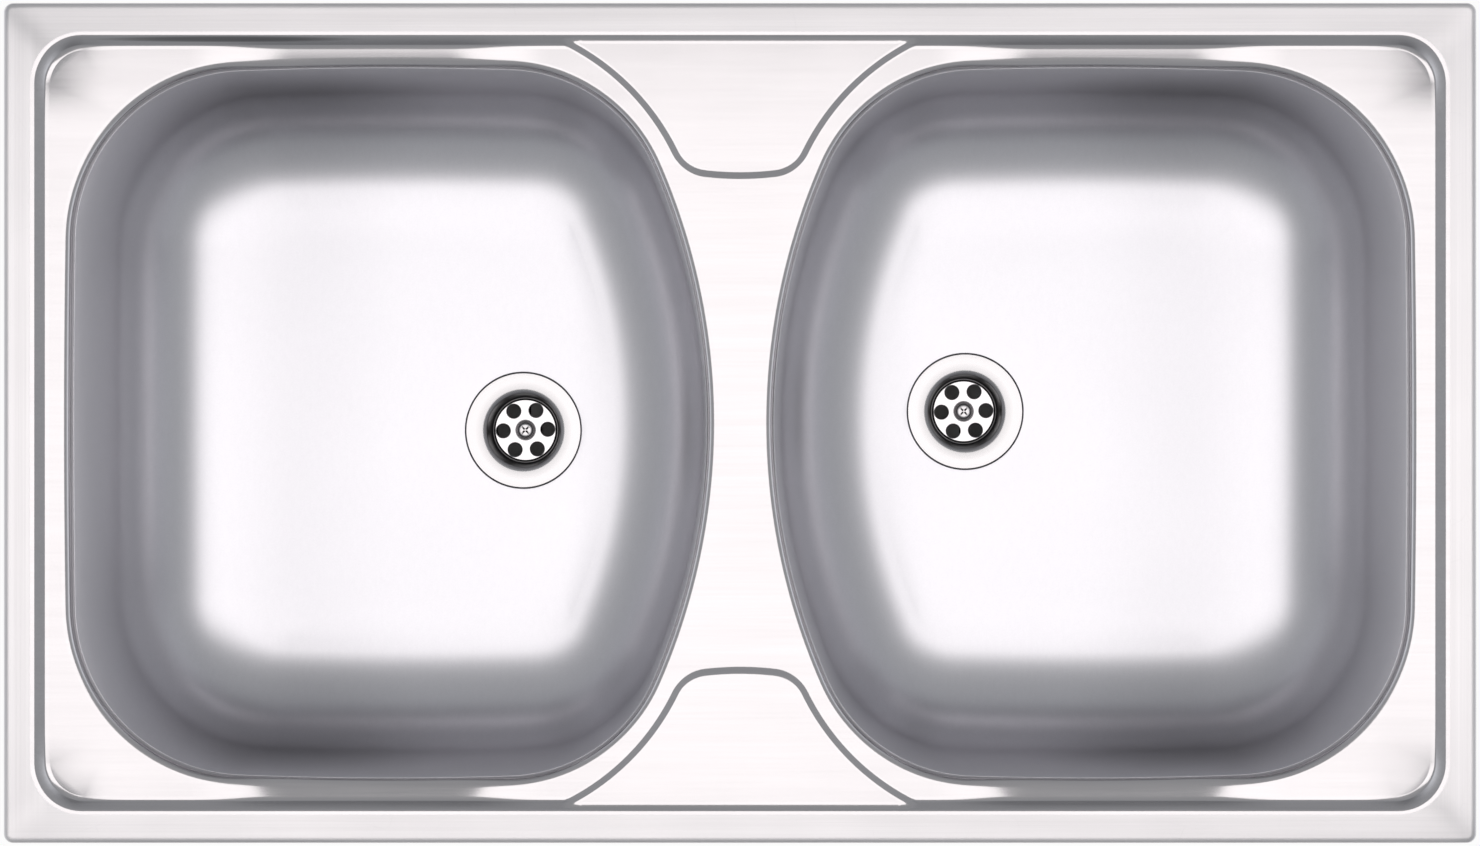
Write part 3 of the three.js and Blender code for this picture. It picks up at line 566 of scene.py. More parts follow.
# Handling leaves fine scratches in all directions and a slow unevenness of the polish.
handling, given = group(
    "handling wear",
    [("Vector", "NodeSocketVector", (0, 0, 0)), ("Scratch Scale", "NodeSocketFloat", 40.0)],
    [("Scratch", "NodeSocketFloat"), ("Unevenness", "NodeSocketFloat")])
twisted = node(handling, "ShaderNodeTexNoise", {"Vector": given["Vector"], "Scale": 9.0, "Detail": 2.0})
bent = node(handling, "ShaderNodeVectorMath", {0: twisted.outputs["Color"], 1: (0.05, 0.05, 0.05)},
            operation="MULTIPLY")
moved = node(handling, "ShaderNodeVectorMath", {0: given["Vector"], 1: bent.outputs[0]}, operation="ADD")
cells = node(handling, "ShaderNodeTexVoronoi", {"Vector": moved.outputs[0], "Scale": given["Scratch Scale"]},
             feature="DISTANCE_TO_EDGE")
line = between(handling, cells.outputs["Distance"], 1.0, 0.0, end=0.012)
broken = between(handling, noise(handling, moved.outputs[0], 60.0, 1.0), 0.0, 1.0, 0.55, 0.68)
scratch = maths(handling, "MULTIPLY", line, broken)
uneven = noise(handling, given["Vector"], 14.0, 3.0)
node(handling, "NodeGroupOutput", {"Scratch": scratch, "Unevenness": uneven})

# The colour of painted shade: near-black marks that stand for dark reflections on the deck's step and the
# bowls' walls.
PAINTED_SHADE_COLOUR = (0.02, 0.02, 0.022, 1)
SCRATCH_SHADE, SCRATCH_DEPTH, POLISH_SPREAD = 0.25, 0.6, 0.08


def steel(name, coordinates, frequency, roughness, anisotropy, strokes, banding, tint, tangent=None, wear=1.0,
          painted_dark=None, ends=0.0):
    """Stainless steel with strokes of a depth in mm. The first of tint shows in the strokes' troughs."""
    made, tree = material(name)
    stroke, band = coordinates(tree, frequency)
    use = node(tree, "ShaderNodeGroup", {"Vector": object_place(tree)}, node_tree=handling)
    spread = between(tree, weighed(tree, stroke, 1 - banding, band, banding), 0.0, 1.0, 0.36, 0.64)
    worn = maths(tree, "MULTIPLY", use.outputs["Scratch"], SCRATCH_SHADE * wear)
    colour = blend(tree, maths(tree, "SUBTRACT", spread, worn), *tint)
    # Painted shade: where the given mask is high, the colour is blended towards near black.
    if painted_dark:
        colour = blend(tree, painted_dark(tree), colour, PAINTED_SHADE_COLOUR)
    # Painted light: where the ends attribute is high, the colour is blended towards white, so the end walls
    # look lighter.
    if ends:
        painted_end_light = node(tree, "ShaderNodeAttribute", attribute_name="ends").outputs["Fac"]
        colour = blend(tree, maths(tree, "MULTIPLY", painted_end_light, ends), colour, (1, 1, 1, 1))
    low, high = roughness
    uneven = maths(tree, "MULTIPLY", maths(tree, "SUBTRACT", use.outputs["Unevenness"], 0.5),
                   POLISH_SPREAD * wear)
    rough = maths(tree, "ADD", between(tree, stroke, low, high), uneven)
    height = maths(tree, "SUBTRACT", stroke, maths(tree, "MULTIPLY", use.outputs["Scratch"], SCRATCH_DEPTH))
    stretch = {"Tangent": tangent(tree)} if tangent else {}
    finish(tree, colour, rough, height, strokes, Metallic=1.0, Anisotropic=anisotropy, **stretch)
    return made


def along_strokes(tree, frequency):
    """The stroke and band of brushing that runs the same way everywhere."""
    strokes = node(tree, "ShaderNodeGroup", {"Vector": object_place(tree), "Frequency": frequency},
                   node_tree=brushing)
    return strokes.outputs["Stroke"], strokes.outputs["Band"]


def along_sides(tree, frequency):
    """The stroke and band of brushing that follows the nearer side of the sink."""
    side = node(tree, "ShaderNodeAttribute", attribute_name="side").outputs["Fac"]
    lengthways = along_strokes(tree, frequency)
    crossways = along_strokes(tree, (frequency[1], frequency[0], frequency[2]))
    return [node(tree, "ShaderNodeMix", {0: side, 2: a, 3: b}).outputs[0]
            for a, b in zip(lengthways, crossways)]


def across_strokes(tree):
    """The direction square to the brushing on the border, for the stretched highlight."""
    side = node(tree, "ShaderNodeAttribute", attribute_name="side").outputs["Fac"]
    mixed = node(tree, "ShaderNodeMix", {0: side, 4: (0, 1, 0), 5: (1, 0, 0)}, data_type="VECTOR")
    return mixed.outputs[1]


def plain_across(tree):
    """The direction square to brushing that runs along the sink."""
    return node(tree, "ShaderNodeCombineXYZ", {0: 0.0, 1: 1.0, 2: 0.0}).outputs[0]


def from_mark(tree, place, middle, reach):
    """The squared distance from the middle of a mark, which is 1 at its edge."""
    squares = []
    for here, at, half in zip(place, middle, reach):
        away = maths(tree, "DIVIDE", maths(tree, "SUBTRACT", here, at), half)
        squares.append(maths(tree, "MULTIPLY", away, away))
    return maths(tree, "ADD", *squares)


# Where the painted dark reflection on the rear step lies, how far it reaches and how dark it is.
STEP_SHADE_MIDDLE, STEP_SHADE_REACH, STEP_SHADE_STRENGTH = (-0.272, 0.2034), (0.080, 0.0018), 0.6


def painted_step_reflection(tree):
    """A painted dark reflection: a dark streak along the left half of the rear step."""
    x, y, _ = node(tree, "ShaderNodeSeparateXYZ", {0: object_place(tree)}).outputs
    away = from_mark(tree, (x, y), STEP_SHADE_MIDDLE, STEP_SHADE_REACH)
    return between(tree, away, STEP_SHADE_STRENGTH, 0.0, interpolation_type="SMOOTHERSTEP")


brushed = steel("brushed border steel", along_sides, (6, 700, 700), roughness=(0.26, 0.40), anisotropy=0.7,
                strokes=0.0010, banding=0.55, tint=((0.71, 0.692, 0.698, 1), (0.82, 0.80, 0.807, 1)),
                tangent=across_strokes)
# The satin deck steel carries a painted dark reflection as a streak on its rear step.
satin = steel("satin deck steel", along_strokes, (16, 700, 700), roughness=(0.13, 0.20), anisotropy=0.35,
              strokes=0.0003, banding=0.5, tint=((0.58, 0.563, 0.571, 1), (0.62, 0.603, 0.611, 1)),
              tangent=plain_across, painted_dark=painted_step_reflection)
MITRE = 34.0  # how gently the brushing turns at the border's corners

deck = make_piece("pressed_deck", points, faces, brushed, satin)
x, y = points[:, 0], points[:, 1]
along_y = np.clip(0.5 + ((np.abs(x) - LENGTH / 2) - (np.abs(y) - WIDTH / 2)) / MITRE, 0, 1)
paint(deck, "side", along_y * along_y * (3 - 2 * along_y))
centres = np.array([np.mean(points[list(f)], 0) for f in faces])
on_border = inside_border(centres[:, 0], centres[:, 1]) < BORDER_STEP[0][0]
deck.data.polygons.foreach_set("material_index", np.where(on_border, 0, 1).tolist())

# The reflections need smoother normals than the mesh has, so the formula of the height gives them.
normals = gathered(deck.data.vertex_normals, "vector")
near = 0.04
sheet_face = np.abs(points[:, 2] - deck_height(x, y)) < 1e-3
under_face = np.abs(points[:, 2] + SHEET - deck_height(x, y)) < 1e-3
field = (inside_border(x, y) > -(BORDER - CROWN_RUN - 0.1))
slope_x = (deck_height(x + near, y) - deck_height(x - near, y)) / (2 * near)
slope_y = (deck_height(x, y + near) - deck_height(x, y - near)) / (2 * near)
exact = np.column_stack([-slope_x, -slope_y, np.ones(len(x))])
exact /= np.linalg.norm(exact, axis=1)[:, None]
for face, sign in ((sheet_face & field, 1), (under_face & field, -1)):
    normals[face] = exact[face] * sign
deck.data.normals_split_custom_set_from_vertices(normals.tolist())
settle(deck, "deck")

# ---- Bowls --------------------------------------------------------------------------------------
# Two drawn bowls from one tool, the right one turned half round. Each is seam welded under its
# collar, with the seam ground back, and has a floor that falls to a recess for the waste.

BOWL_DEPTH = 150.0
FLANGE_Z = RIM_Z - BOWL_DEPTH
WALL_DRAFT = math.radians(2.5)
FLOOR_BEND = 55.0
FLOOR_FALL = 0.02
WASTE = np.array([-129.0, -5.5])
FLANGE_RADIUS, FLANGE_GAP = 33.7, 0.7
SEAL_THICKNESS = 1.5
WASTE_HOLE = 30.0
RECESS = FLANGE_RADIUS + FLANGE_GAP
RECESS_Z = FLANGE_Z - SHEET - SEAL_THICKNESS
WALL_HEIGHT = WELD_Z - FLANGE_Z
FLOOR_INSET = (FLOOR_BEND + (WALL_HEIGHT - FLOOR_BEND) * math.sin(WALL_DRAFT)) / math.cos(WALL_DRAFT)


def floor_height(p):
    return FLANGE_Z + FLOOR_FALL * np.maximum(0, np.hypot(p[:, 0] - WASTE[0], p[:, 1] - WASTE[1]) - RECESS)


SPRING, SPRING_REACH, SPRING_FROM = 1.35, 28.0, 60.0  # the floor curls up a little before its bend


def spring_back(inward):
    """How far the sheet has sprung up, by distance inward from where the floor's bend starts."""
    before = SPRING * np.clip(1 - inward / SPRING_REACH, 0, 1) ** 2
    within = np.clip(-inward, 0, SPRING_REACH)
    return before + (inward < 0) * 2 * SPRING / SPRING_REACH * (within - within ** 2 / 2 / SPRING_REACH)


floor_line = bowl_outline(FLOOR_INSET)
share = (WELD_Z - floor_height(floor_line)) / WALL_HEIGHT


def wall_ring(inset, down):
    sprung = spring_back(np.array(inset - FLOOR_INSET)) * min(1.0, down / SPRING_FROM)
    return np.column_stack([bowl_outline(inset), WELD_Z - down * share + sprung])


def wall_profile(thickness, bends):
    """(inset, depth) down the wall and round the bend into the floor."""
    radius = FLOOR_BEND + thickness
    turns = math.pi + WALL_DRAFT + (math.pi / 2 - WALL_DRAFT) * np.arange(bends + 1) / bends
    bend = [(FLOOR_INSET + radius * math.cos(t), WALL_HEIGHT - FLOOR_BEND - radius * math.sin(t))
            for t in turns]
    top = (-thickness / math.cos(WALL_DRAFT), 0.0)
    straight = [tuple(np.array(top) + (np.array(bend[0]) - top) * s)
                for s in (0.02, 0.2, 0.4, 0.6, 0.8, 0.96)]
    return straight + bend


waste_turn = np.arctan2(floor_line[:, 1] - WASTE[1], floor_line[:, 0] - WASTE[0])
from_waste = np.column_stack([np.cos(waste_turn), np.sin(waste_turn)])
stations = len(floor_line)


def waste_ring(radius, z):
    return np.column_stack([WASTE + radius * from_waste, np.full(stations, float(z))])


RECESS_LAND = 2.2


def floor_rings(drop):
    """Rings over the floor from the bend to the recess."""
    start = wall_ring(FLOOR_INSET, WALL_HEIGHT)
    end = WASTE + (RECESS + RECESS_LAND) * from_waste
    rings = []
    for s in (0.02, 0.05, 0.1, 0.16, 0.23, 0.3, 0.45, 0.6, 0.75, 0.88, 0.97, 1.0):
        flat = start[:, :2] + (end - start[:, :2]) * s
        inward = np.linalg.norm(end - start[:, :2], axis=1) * s
        rings.append(np.column_stack([flat, floor_height(flat) + spring_back(inward) - drop]))
    return rings


SEAM = 0.2  # the bowl's edge shows as a narrow ground ledge inside the collar
SEAM_FADE = 40.0
inside_rings = [wall_ring(inset, down) for inset, down in (
    (-0.7, 0.0), (-0.1, 0.0), (SEAM - 0.12, 0.0), (SEAM - 0.03, 0.07), (SEAM, 0.25), (SEAM, 1.0))]
inside_rings += [wall_ring(inset + SEAM * max(0.0, 1 - down / SEAM_FADE), down)
                 for inset, down in wall_profile(0, 22) if down > 1.2]
inside_rings += floor_rings(0)
EDGE_BEND, FOOT_BEND, FOOT_IN = 0.45, 0.6, 1.1  # the recess's upper and lower bends
for turn in np.radians(np.linspace(0, 80, 7)):
    inside_rings.append(waste_ring(RECESS - EDGE_BEND * math.sin(turn),
                                   FLANGE_Z - EDGE_BEND * (1 - math.cos(turn))))
for turn in np.radians(np.linspace(80, 0, 5)):
    inside_rings.append(waste_ring(RECESS - FOOT_IN + FOOT_BEND * math.sin(turn),
                                   RECESS_Z + FOOT_BEND * (1 - math.cos(turn))))
inside_rings += [waste_ring(WASTE_HOLE + 0.2, RECESS_Z), waste_ring(WASTE_HOLE, RECESS_Z - 0.2)]
outside_rings = [wall_ring(-SHEET, 0.15)]
outside_rings += [wall_ring(i, d) for i, d in wall_profile(SHEET, 16)]
outside_rings += floor_rings(SHEET)[::2]
outside_rings += [waste_ring(radius, z) for radius, z in (
    (RECESS + 1.6, FLANGE_Z - SHEET - 0.2), (RECESS + SHEET, FLANGE_Z - SHEET - 0.9),
    (RECESS + SHEET - 0.1, RECESS_Z - 0.5), (RECESS - 0.2, RECESS_Z - SHEET),
    (WASTE_HOLE, RECESS_Z - SHEET))]


def skin(rings):
    """Points and faces of a tube closed on itself, through rings of equal length."""
    numbers = np.arange(len(rings) * len(rings[0])).reshape(len(rings), -1)
    quads = [f for a, b in zip(numbers, np.roll(numbers, -1, 0)) for f in ring_faces(a, b)]
    return np.concatenate(rings), quads


shell, shell_faces = skin(inside_rings + outside_rings[::-1])
# Where the painted shade on the bowls' walls lies, how far it reaches and how dark it is.
WALL_SHADE_MIDDLE, WALL_SHADE_REACH, WALL_SHADE_STRENGTH = (0.253, -0.080), (0.105, 0.075), 0.42


def painted_wall_shade(tree):
    """Painted shade: a darker patch, standing for a dark reflection, near the outer end of each long wall,
    half way down.
    """
    x, _, z = node(tree, "ShaderNodeSeparateXYZ", {0: object_place(tree)}).outputs
    away = from_mark(tree, (maths(tree, "ABSOLUTE", x), z), WALL_SHADE_MIDDLE, WALL_SHADE_REACH)
    fading = maths(tree, "MAXIMUM", maths(tree, "SUBTRACT", 1.0, away), 0.0)
    patch = maths(tree, "MULTIPLY", maths(tree, "MULTIPLY", fading, fading), WALL_SHADE_STRENGTH)
    inside = node(tree, "ShaderNodeAttribute", attribute_name="inside").outputs["Fac"]
    return maths(tree, "MULTIPLY", patch, inside)


# The bowl steel carries painted shade near the outer end of each long wall, and painted light on its end
# walls.
drawn = steel("satin bowl steel", along_strokes, (1100, 1100, 1100), roughness=(0.30, 0.35), anisotropy=0.0,
              strokes=0.0002, banding=0.35, tint=((0.696, 0.688, 0.716, 1), (0.726, 0.718, 0.746, 1)),
              wear=0.3, painted_dark=painted_wall_shade, ends=0.40)
for label, sign in (("left", 1), ("right", -1)):
    turned = shell * (sign, sign, 1)
    bowl = make_piece(f"drawn_bowl_{label}", turned, shell_faces, drawn)
    inner = np.arange(len(turned)) < len(inside_rings) * stations
    paint(bowl, "inside", inner)
    # Painted light: inside walls that face along the sink get a weight, steeper with the facing, that
    # lightens their colour.
    paint(bowl, "ends", inner * gathered(bowl.data.vertex_normals, "vector")[:, 0] ** 6)
    settle(bowl, f"bowl_{label}")

# ---- Foam seal ----------------------------------------------------------------------------------
# A strip of closed-cell foam stuck under the border, which the clamps squeeze down on the worktop.
# It's cut square and joined at one corner, so it keeps its even section all the way round.

SEAL_INSET, SEAL_WIDTH, SEAL_CORNER = 2.6, 8.0, 2.4


def eased(path, radius, closed=True, bends=5):
    """A path with its corners rounded, tighter where there is no room."""
    path = [np.array(p, float) for p in path]
    radii = radius if isinstance(radius, (list, tuple)) else [radius] * len(path)
    rounded = []
    for i, point in enumerate(path):
        if radii[i] == 0 or (not closed and i in (0, len(path) - 1)):
            rounded.append(point)
            continue
        before, after = path[i - 1] - point, path[(i + 1) % len(path)] - point
        a, b = np.linalg.norm(before), np.linalg.norm(after)
        half = math.acos(np.clip(np.dot(before, after) / (a * b), -1, 1)) / 2
        reach = min(radii[i] / math.tan(half), 0.45 * a, 0.45 * b)
        inward = before / a + after / b
        centre = point + inward / np.linalg.norm(inward) * reach * math.tan(half) / math.sin(half)
        first, last = point + before / a * reach - centre, point + after / b * reach - centre
        sweep = math.pi - 2 * half
        for share in np.linspace(0, 1, bends + 1):
            rounded.append(centre + (first * math.sin((1 - share) * sweep) + last * math.sin(share * sweep))
                           / math.sin(sweep))
    return rounded


foam, tree = material("closed-cell foam")
here = object_place(tree)
cells = node(tree, "ShaderNodeTexVoronoi", {"Vector": here, "Scale": 1400.0}).outputs["Distance"]
shade = blend(tree, noise(tree, here, 60.0, 3.0), (0.060, 0.061, 0.066, 1), (0.105, 0.106, 0.112, 1))
finish(tree, shade, between(tree, cells, 0.85, 0.98), cells, depth=0.25)

SEAL_TOP = RIM_Z - SHEET
seal_section = eased([(0, 0), (SEAL_WIDTH, 0), (SEAL_WIDTH, SEAL_TOP), (0, SEAL_TOP)], [0.9, 0.9, 0.3, 0.3])
seal_rings = []
for inward, z in seal_section:
    outline = rounded_rectangle(SEAL_INSET + inward, SEAL_CORNER)
    seal_rings.append(np.column_stack([outline, np.full(len(outline), z)]))
seal = make_piece("foam_strip", *skin(seal_rings), foam)
settle(seal, "rim_seal")

# ---- Sound pads ---------------------------------------------------------------------------------
# A bitumen sheet with a felted face stuck under each floor to deaden the sound of running water.
# It's pressed on warm, so it follows the floor's fall and its edges are a little rounded.

PAD_LENGTH, PAD_WIDTH, PAD_CORNER, PAD_THICKNESS = 104.1, 176.0, 14.0, 2.4
PAD_FROM_WASTE = 51.0
PAD_GAP = 0.3


def speckled(name, colours, roughness, scale, depth, shine=0.5):
    """A dull finish with two colours mixed by noise, and a fine relief of its own, its depth in mm."""
    made, tree = material(name)
    here = object_place(tree)
    grain, patches = noise(tree, here, scale, 4.0), noise(tree, here, scale * 0.06, 2.0)
    spread = between(tree, weighed(tree, grain, 0.6, patches, 0.4), 0.0, 1.0, 0.35, 0.65)
    finish(tree, blend(tree, spread, *colours), between(tree, spread, *roughness), grain, depth,
           Specular_IOR_Level=shine)
    return made


bitumen = speckled("felted bitumen", ((0.055, 0.056, 0.058, 1), (0.125, 0.127, 0.13, 1)),
                   roughness=(0.82, 0.97), scale=900, depth=0.35)
hx, hy = PAD_LENGTH / 2 - PAD_CORNER, PAD_WIDTH / 2 - PAD_CORNER
pad_plan = np.concatenate([arc((sx * hx, sy * hy), PAD_CORNER, i * math.pi / 2, (i + 1) * math.pi / 2, 12)
                           for i, (sx, sy) in enumerate(((1, 1), (-1, 1), (-1, -1), (1, -1)))])
pad_middle = WASTE + (-PAD_FROM_WASTE - PAD_LENGTH / 2, 0)


def pad_ring(scale, inset, drop):
    span = np.array([PAD_LENGTH / 2, PAD_WIDTH / 2])
    flat = pad_plan * (scale * (span - inset) / span) + pad_middle
    return np.column_stack([flat, floor_height(flat) - SHEET - PAD_GAP - drop])


spans = (0.03, 0.2, 0.4, 0.6, 0.8, 0.95)
pad_rings = [pad_ring(s, 0, 0) for s in spans] + [pad_ring(1, i, d) for i, d in (
    (0.3, 0), (0.08, 0.1), (0, 0.35), (0, 1.5), (0.2, 2.0), (0.5, 2.27), (0.9, PAD_THICKNESS))]
pad_rings += [pad_ring(s, 0, PAD_THICKNESS) for s in spans[::-1]]
pad_points, pad_faces = skin(pad_rings)
for label, sign in (("left", 1), ("right", -1)):
    pad = make_piece(f"bitumen_pad_{label}", pad_points * (sign, sign, 1), pad_faces, bitumen)
    settle(pad, f"sound_pad_{label}")

# ---- Strainer -----------------------------------------------------------------------------------
# The flange, cup and perforated plate are one pressing of bright stainless. The flange sits in the
# floor's recess, and a dimple in the plate takes the screw that holds the waste together.

PLATE_Z = -13.5
HOLES, HOLE_RADIUS, HOLE_CIRCLE, HOLE_TURN = 6, 4.15, 13.1, math.radians(2)


def lathe(section, segments, shape=None):
    """A section of (radius, height) points turned about an upright axis, shut where it meets the axis."""
    turn = 2 * math.pi * np.arange(segments) / segments
    made, rings, first = [], [], 0
    for radius, z in section:
        if radius < 1e-6:
            made.append(np.array([[0, 0, z]]))
            rings.append(np.full(segments, first))
        else:
            reach = radius * np.ones(segments) if shape is None else shape(radius, turn)
            made.append(np.column_stack([reach * np.cos(turn), reach * np.sin(turn), np.full(segments, z)]))
            rings.append(np.arange(first, first + segments))
        first += len(made[-1])
    quads = []
    for a, b in zip(rings, rings[1:] + rings[:1]):
        if a[0] != a[1] or b[0] != b[1]:
            quads += [tuple(dict.fromkeys(map(int, f))) for f in ring_faces(a, b)]
    return np.concatenate(made), quads


def shape_tree(name, **inputs):
    """An empty Geometry Nodes tree with its named inputs."""
    tree = bpy.data.node_groups.new(name, "GeometryNodeTree")
    add_socket = tree.interface.new_socket
    for label, kind in (("Geometry", "Geometry"), *inputs.items(), ("Material", "Material")):
        add_socket(name=label.replace("_", " "), in_out="INPUT", socket_type=f"NodeSocket{kind}")
    add_socket(name="Geometry", in_out="OUTPUT", socket_type="NodeSocketGeometry")
    return tree, node(tree, "NodeGroupInput").outputs


def end_tree(tree, shaped, material):
    """Makes the copies real and gives the whole its material, as every tree here ends."""
    whole = node(tree, "GeometryNodeRealizeInstances", {0: shaped}).outputs[0]
    finished = node(tree, "GeometryNodeSetMaterial", {"Geometry": whole, "Material": material})
    node(tree, "NodeGroupOutput", {"Geometry": finished.outputs[0]})
    return tree


def repeating_tree(name, operation):
    """Copies of a tool along a line or a circle, cut from the piece or joined to it."""
    tree, given = shape_tree(name, Tool="Object", Count="Int", Circle_Radius="Float", First_Turn="Float",
                             Turn_Each="Float", Start="Vector", Step="Vector")
    index = node(tree, "GeometryNodeInputIndex").outputs[0]
    turn = maths(tree, "ADD", maths(tree, "MULTIPLY", index, given["Turn Each"]), given["First Turn"])
    ring = node(tree, "ShaderNodeCombineXYZ", {
        0: maths(tree, "MULTIPLY", maths(tree, "COSINE", turn), given["Circle Radius"]),
        1: maths(tree, "MULTIPLY", maths(tree, "SINE", turn), given["Circle Radius"])}).outputs[0]
    along = node(tree, "ShaderNodeVectorMath", {0: given["Step"], "Scale": index}, operation="SCALE")
    moved = node(tree, "ShaderNodeVectorMath", {0: given["Start"], 1: along.outputs[0]}, operation="ADD")
    places = node(tree, "ShaderNodeVectorMath", {0: moved.outputs[0], 1: ring}, operation="ADD").outputs[0]
    dots = node(tree, "GeometryNodePoints", {"Count": given["Count"], "Position": places}).outputs[0]
    tool = node(tree, "GeometryNodeObjectInfo", {"Object": given["Tool"]}, transform_space="ORIGINAL")
    rotation = node(tree, "ShaderNodeCombineXYZ", {2: turn}).outputs[0]
    copies = node(tree, "GeometryNodeInstanceOnPoints", {
        "Points": dots, "Instance": tool.outputs["Geometry"], "Rotation": rotation}).outputs[0]
    real = node(tree, "GeometryNodeRealizeInstances", {0: copies}).outputs[0]
    if operation == "DIFFERENCE":
        shaped = node(tree, "GeometryNodeMeshBoolean", {"Mesh 1": given["Geometry"], "Mesh 2": real},
                      operation=operation, solver="MANIFOLD")
    else:
        shaped = node(tree, "GeometryNodeMeshBoolean", {}, operation=operation, solver="MANIFOLD")
        tree.links.new(given["Geometry"], shaped.inputs["Mesh 2"])
        tree.links.new(real, shaped.inputs["Mesh 2"])
    return end_tree(tree, shaped.outputs[0], given["Material"])


cut_copies = repeating_tree("cut copies", "DIFFERENCE")


def shape_with(piece, tree, values):
    """Runs a Geometry Nodes tree on a piece and keeps the result as its plain mesh."""
    grower = piece.modifiers.new("shape", "NODES")
    grower.node_group = tree
    for item in tree.interface.items_tree:
        if item.in_out == "INPUT" and item.name in values:
            grower[item.identifier] = values[item.name]
    worked = bpy.data.meshes.new_from_object(piece.evaluated_get(bpy.context.evaluated_depsgraph_get()))
    piece.modifiers.remove(grower)
    piece.data = worked


def crease(piece, degrees=32):
    """Smooth shading with hard edges where two faces meet at more than this."""
    mesh = piece.data
    mesh.polygons.foreach_set("use_smooth", [True] * len(mesh.polygons))
    mesh.set_sharp_from_angle(angle=math.radians(degrees))


def repeat(piece, tool, tree, **values):
    """Cuts or joins copies of a tool, with lengths in mm."""
    sizes = {"Tool": tool, "Material": piece.data.materials[0], "Count": 1, "Circle Radius": 0.0,
             "First Turn": 0.0, "Turn Each": 0.0, "Start": (0.0, 0.0, 0.0), "Step": (0.0, 0.0, 0.0)}
    for label, value in values.items():
        sizes[label.replace("_", " ")] = value
    sizes["Circle Radius"] *= MM
    for label in ("Start", "Step"):
        sizes[label] = tuple(v * MM for v in sizes[label])
    shape_with(piece, tree, sizes)
    bpy.data.objects.remove(tool)


def lay(pattern, name, turn, place, cad_node, body="sink"):
    """A copy of a finished pattern piece, turned and put in its place on the sink."""
    mesh = pattern.data.copy()
    mesh.name = name
    mesh.transform(Matrix.Translation(Vector(place) * MM) @ Matrix.Rotation(turn, 4, "Z"))
    made = bpy.data.objects.new(name, mesh)
    scene.collection.objects.link(made)
    settle(made, cad_node, body)


def fit_both(slot, *patterns):
    """Lays finished patterns in both bowls' wastes, turned half round in the right one."""
    for label, turn, sign in (("left", 0.0, 1), ("right", math.pi, -1)):
        for pattern, name, cad_name in patterns:
            lay(pattern, f"{name}_{label}", turn, (*(sign * WASTE), FLANGE_Z), f"{cad_name}_{label}")
    for pattern, *_ in patterns:
        bpy.data.objects.remove(pattern)


bright, tree = material("bright strainer steel")
here = object_place(tree)
cloud = noise(tree, here, 45.0, 3.0)
wear = node(tree, "ShaderNodeGroup", {"Vector": here, "Scratch Scale": 160.0}, node_tree=handling)
# Painted shade: the groove attribute blends the colour towards near black, in the cup's groove, faintly over
# the flange, and in the screw's cross recess.
painted_groove_shade = node(tree, "ShaderNodeAttribute", attribute_name="groove").outputs["Fac"]
worn = maths(tree, "MULTIPLY", wear.outputs["Scratch"], 0.4)
polish = blend(tree, maths(tree, "SUBTRACT", cloud, worn), (0.66, 0.65, 0.655, 1), (0.75, 0.735, 0.742, 1))
dulled = maths(tree, "ADD", between(tree, cloud, 0.13, 0.24), maths(tree, "MULTIPLY", painted_groove_shade, 0.25))
finish(tree, blend(tree, painted_groove_shade, polish, (0.006, 0.006, 0.007, 1)), dulled, noise(tree, here, 900.0, 3.0),
       depth=0.0006, Metallic=1.0)

FLANGE_EDGE = FLANGE_RADIUS - 0.25
cup_inside = [(3.35, -15.1), (4.2, -15.1), (6.0, PLATE_Z), (17.8, PLATE_Z), (18.6, -14.6), (19.7, -14.6),
              (21.5, -1.6), (23.6, -0.35), (28.5, 0.0), (FLANGE_EDGE, 0.0)]
cup_outside = [(FLANGE_EDGE, -SHEET), (29.5, -SHEET), (24.6, -1.2), (22.7, -2.2), (20.7, -15.35),
               (18.0, -15.35), (17.2, -14.3), (6.3, -14.3), (4.5, -15.9), (3.35, -15.9)]
cup_section = eased(cup_inside + cup_outside, [0.2, 0.5, 0.8, 0.7, 0.4, 0.4, 1.2, 3.0, 4.0, 0.3,
                                               0.3, 4.0, 3.0, 1.2, 0.4, 0.4, 0.4, 0.6, 0.4, 0.2], bends=6)
cup = make_piece("cup_pattern", *lathe(cup_section, 120), bright)
HOLE_EASE = 0.45  # the holes' edges are rounded by the punch
HOLE_WALL_TOP = PLATE_Z - HOLE_EASE
cutter_section = [(0, -18), (HOLE_RADIUS, -18), (HOLE_RADIUS, HOLE_WALL_TOP)]
cutter_section += [(HOLE_RADIUS + HOLE_EASE * (1 - math.cos(t)), HOLE_WALL_TOP + HOLE_EASE * math.sin(t))
                   for t in np.radians((20, 40, 60, 80))]
cutter_section += [(HOLE_RADIUS + 0.5, PLATE_Z + 0.2), (0, PLATE_Z + 0.2)]
hole_tool = make_piece("hole_tool", *lathe(cutter_section, 48), bright)
repeat(cup, hole_tool, cut_copies, Count=HOLES, Circle_Radius=HOLE_CIRCLE, First_Turn=HOLE_TURN,
       Turn_Each=2 * math.pi / HOLES)
crease(cup)
cup_at = gathered(cup.data.vertices, "co") / MM
from_axis = np.hypot(cup_at[:, 0], cup_at[:, 1])
painted_cup_shade = np.interp(from_axis, (20.4, 21.4, 22.6, 26.0), (1.0, 0.7, 0.35, 0.12))  # painted shade: dark in the cup's groove, faint over the flange
paint(cup, "groove", np.clip((from_axis - 18.5) / 0.4, 0, 1) * painted_cup_shade)
fit_both("bright_steel", (cup, "strainer_cup", "strainer"))

# ---- Strainer screw -----------------------------------------------------------------------------
# A stainless pan-head screw with a cross recess runs through the plate into the waste's brass
# insert, and pulls the flange and the gaskets together from above.

SCREW_HEAD_Z, SCREW_TIP_Z = -15.1, -33.1


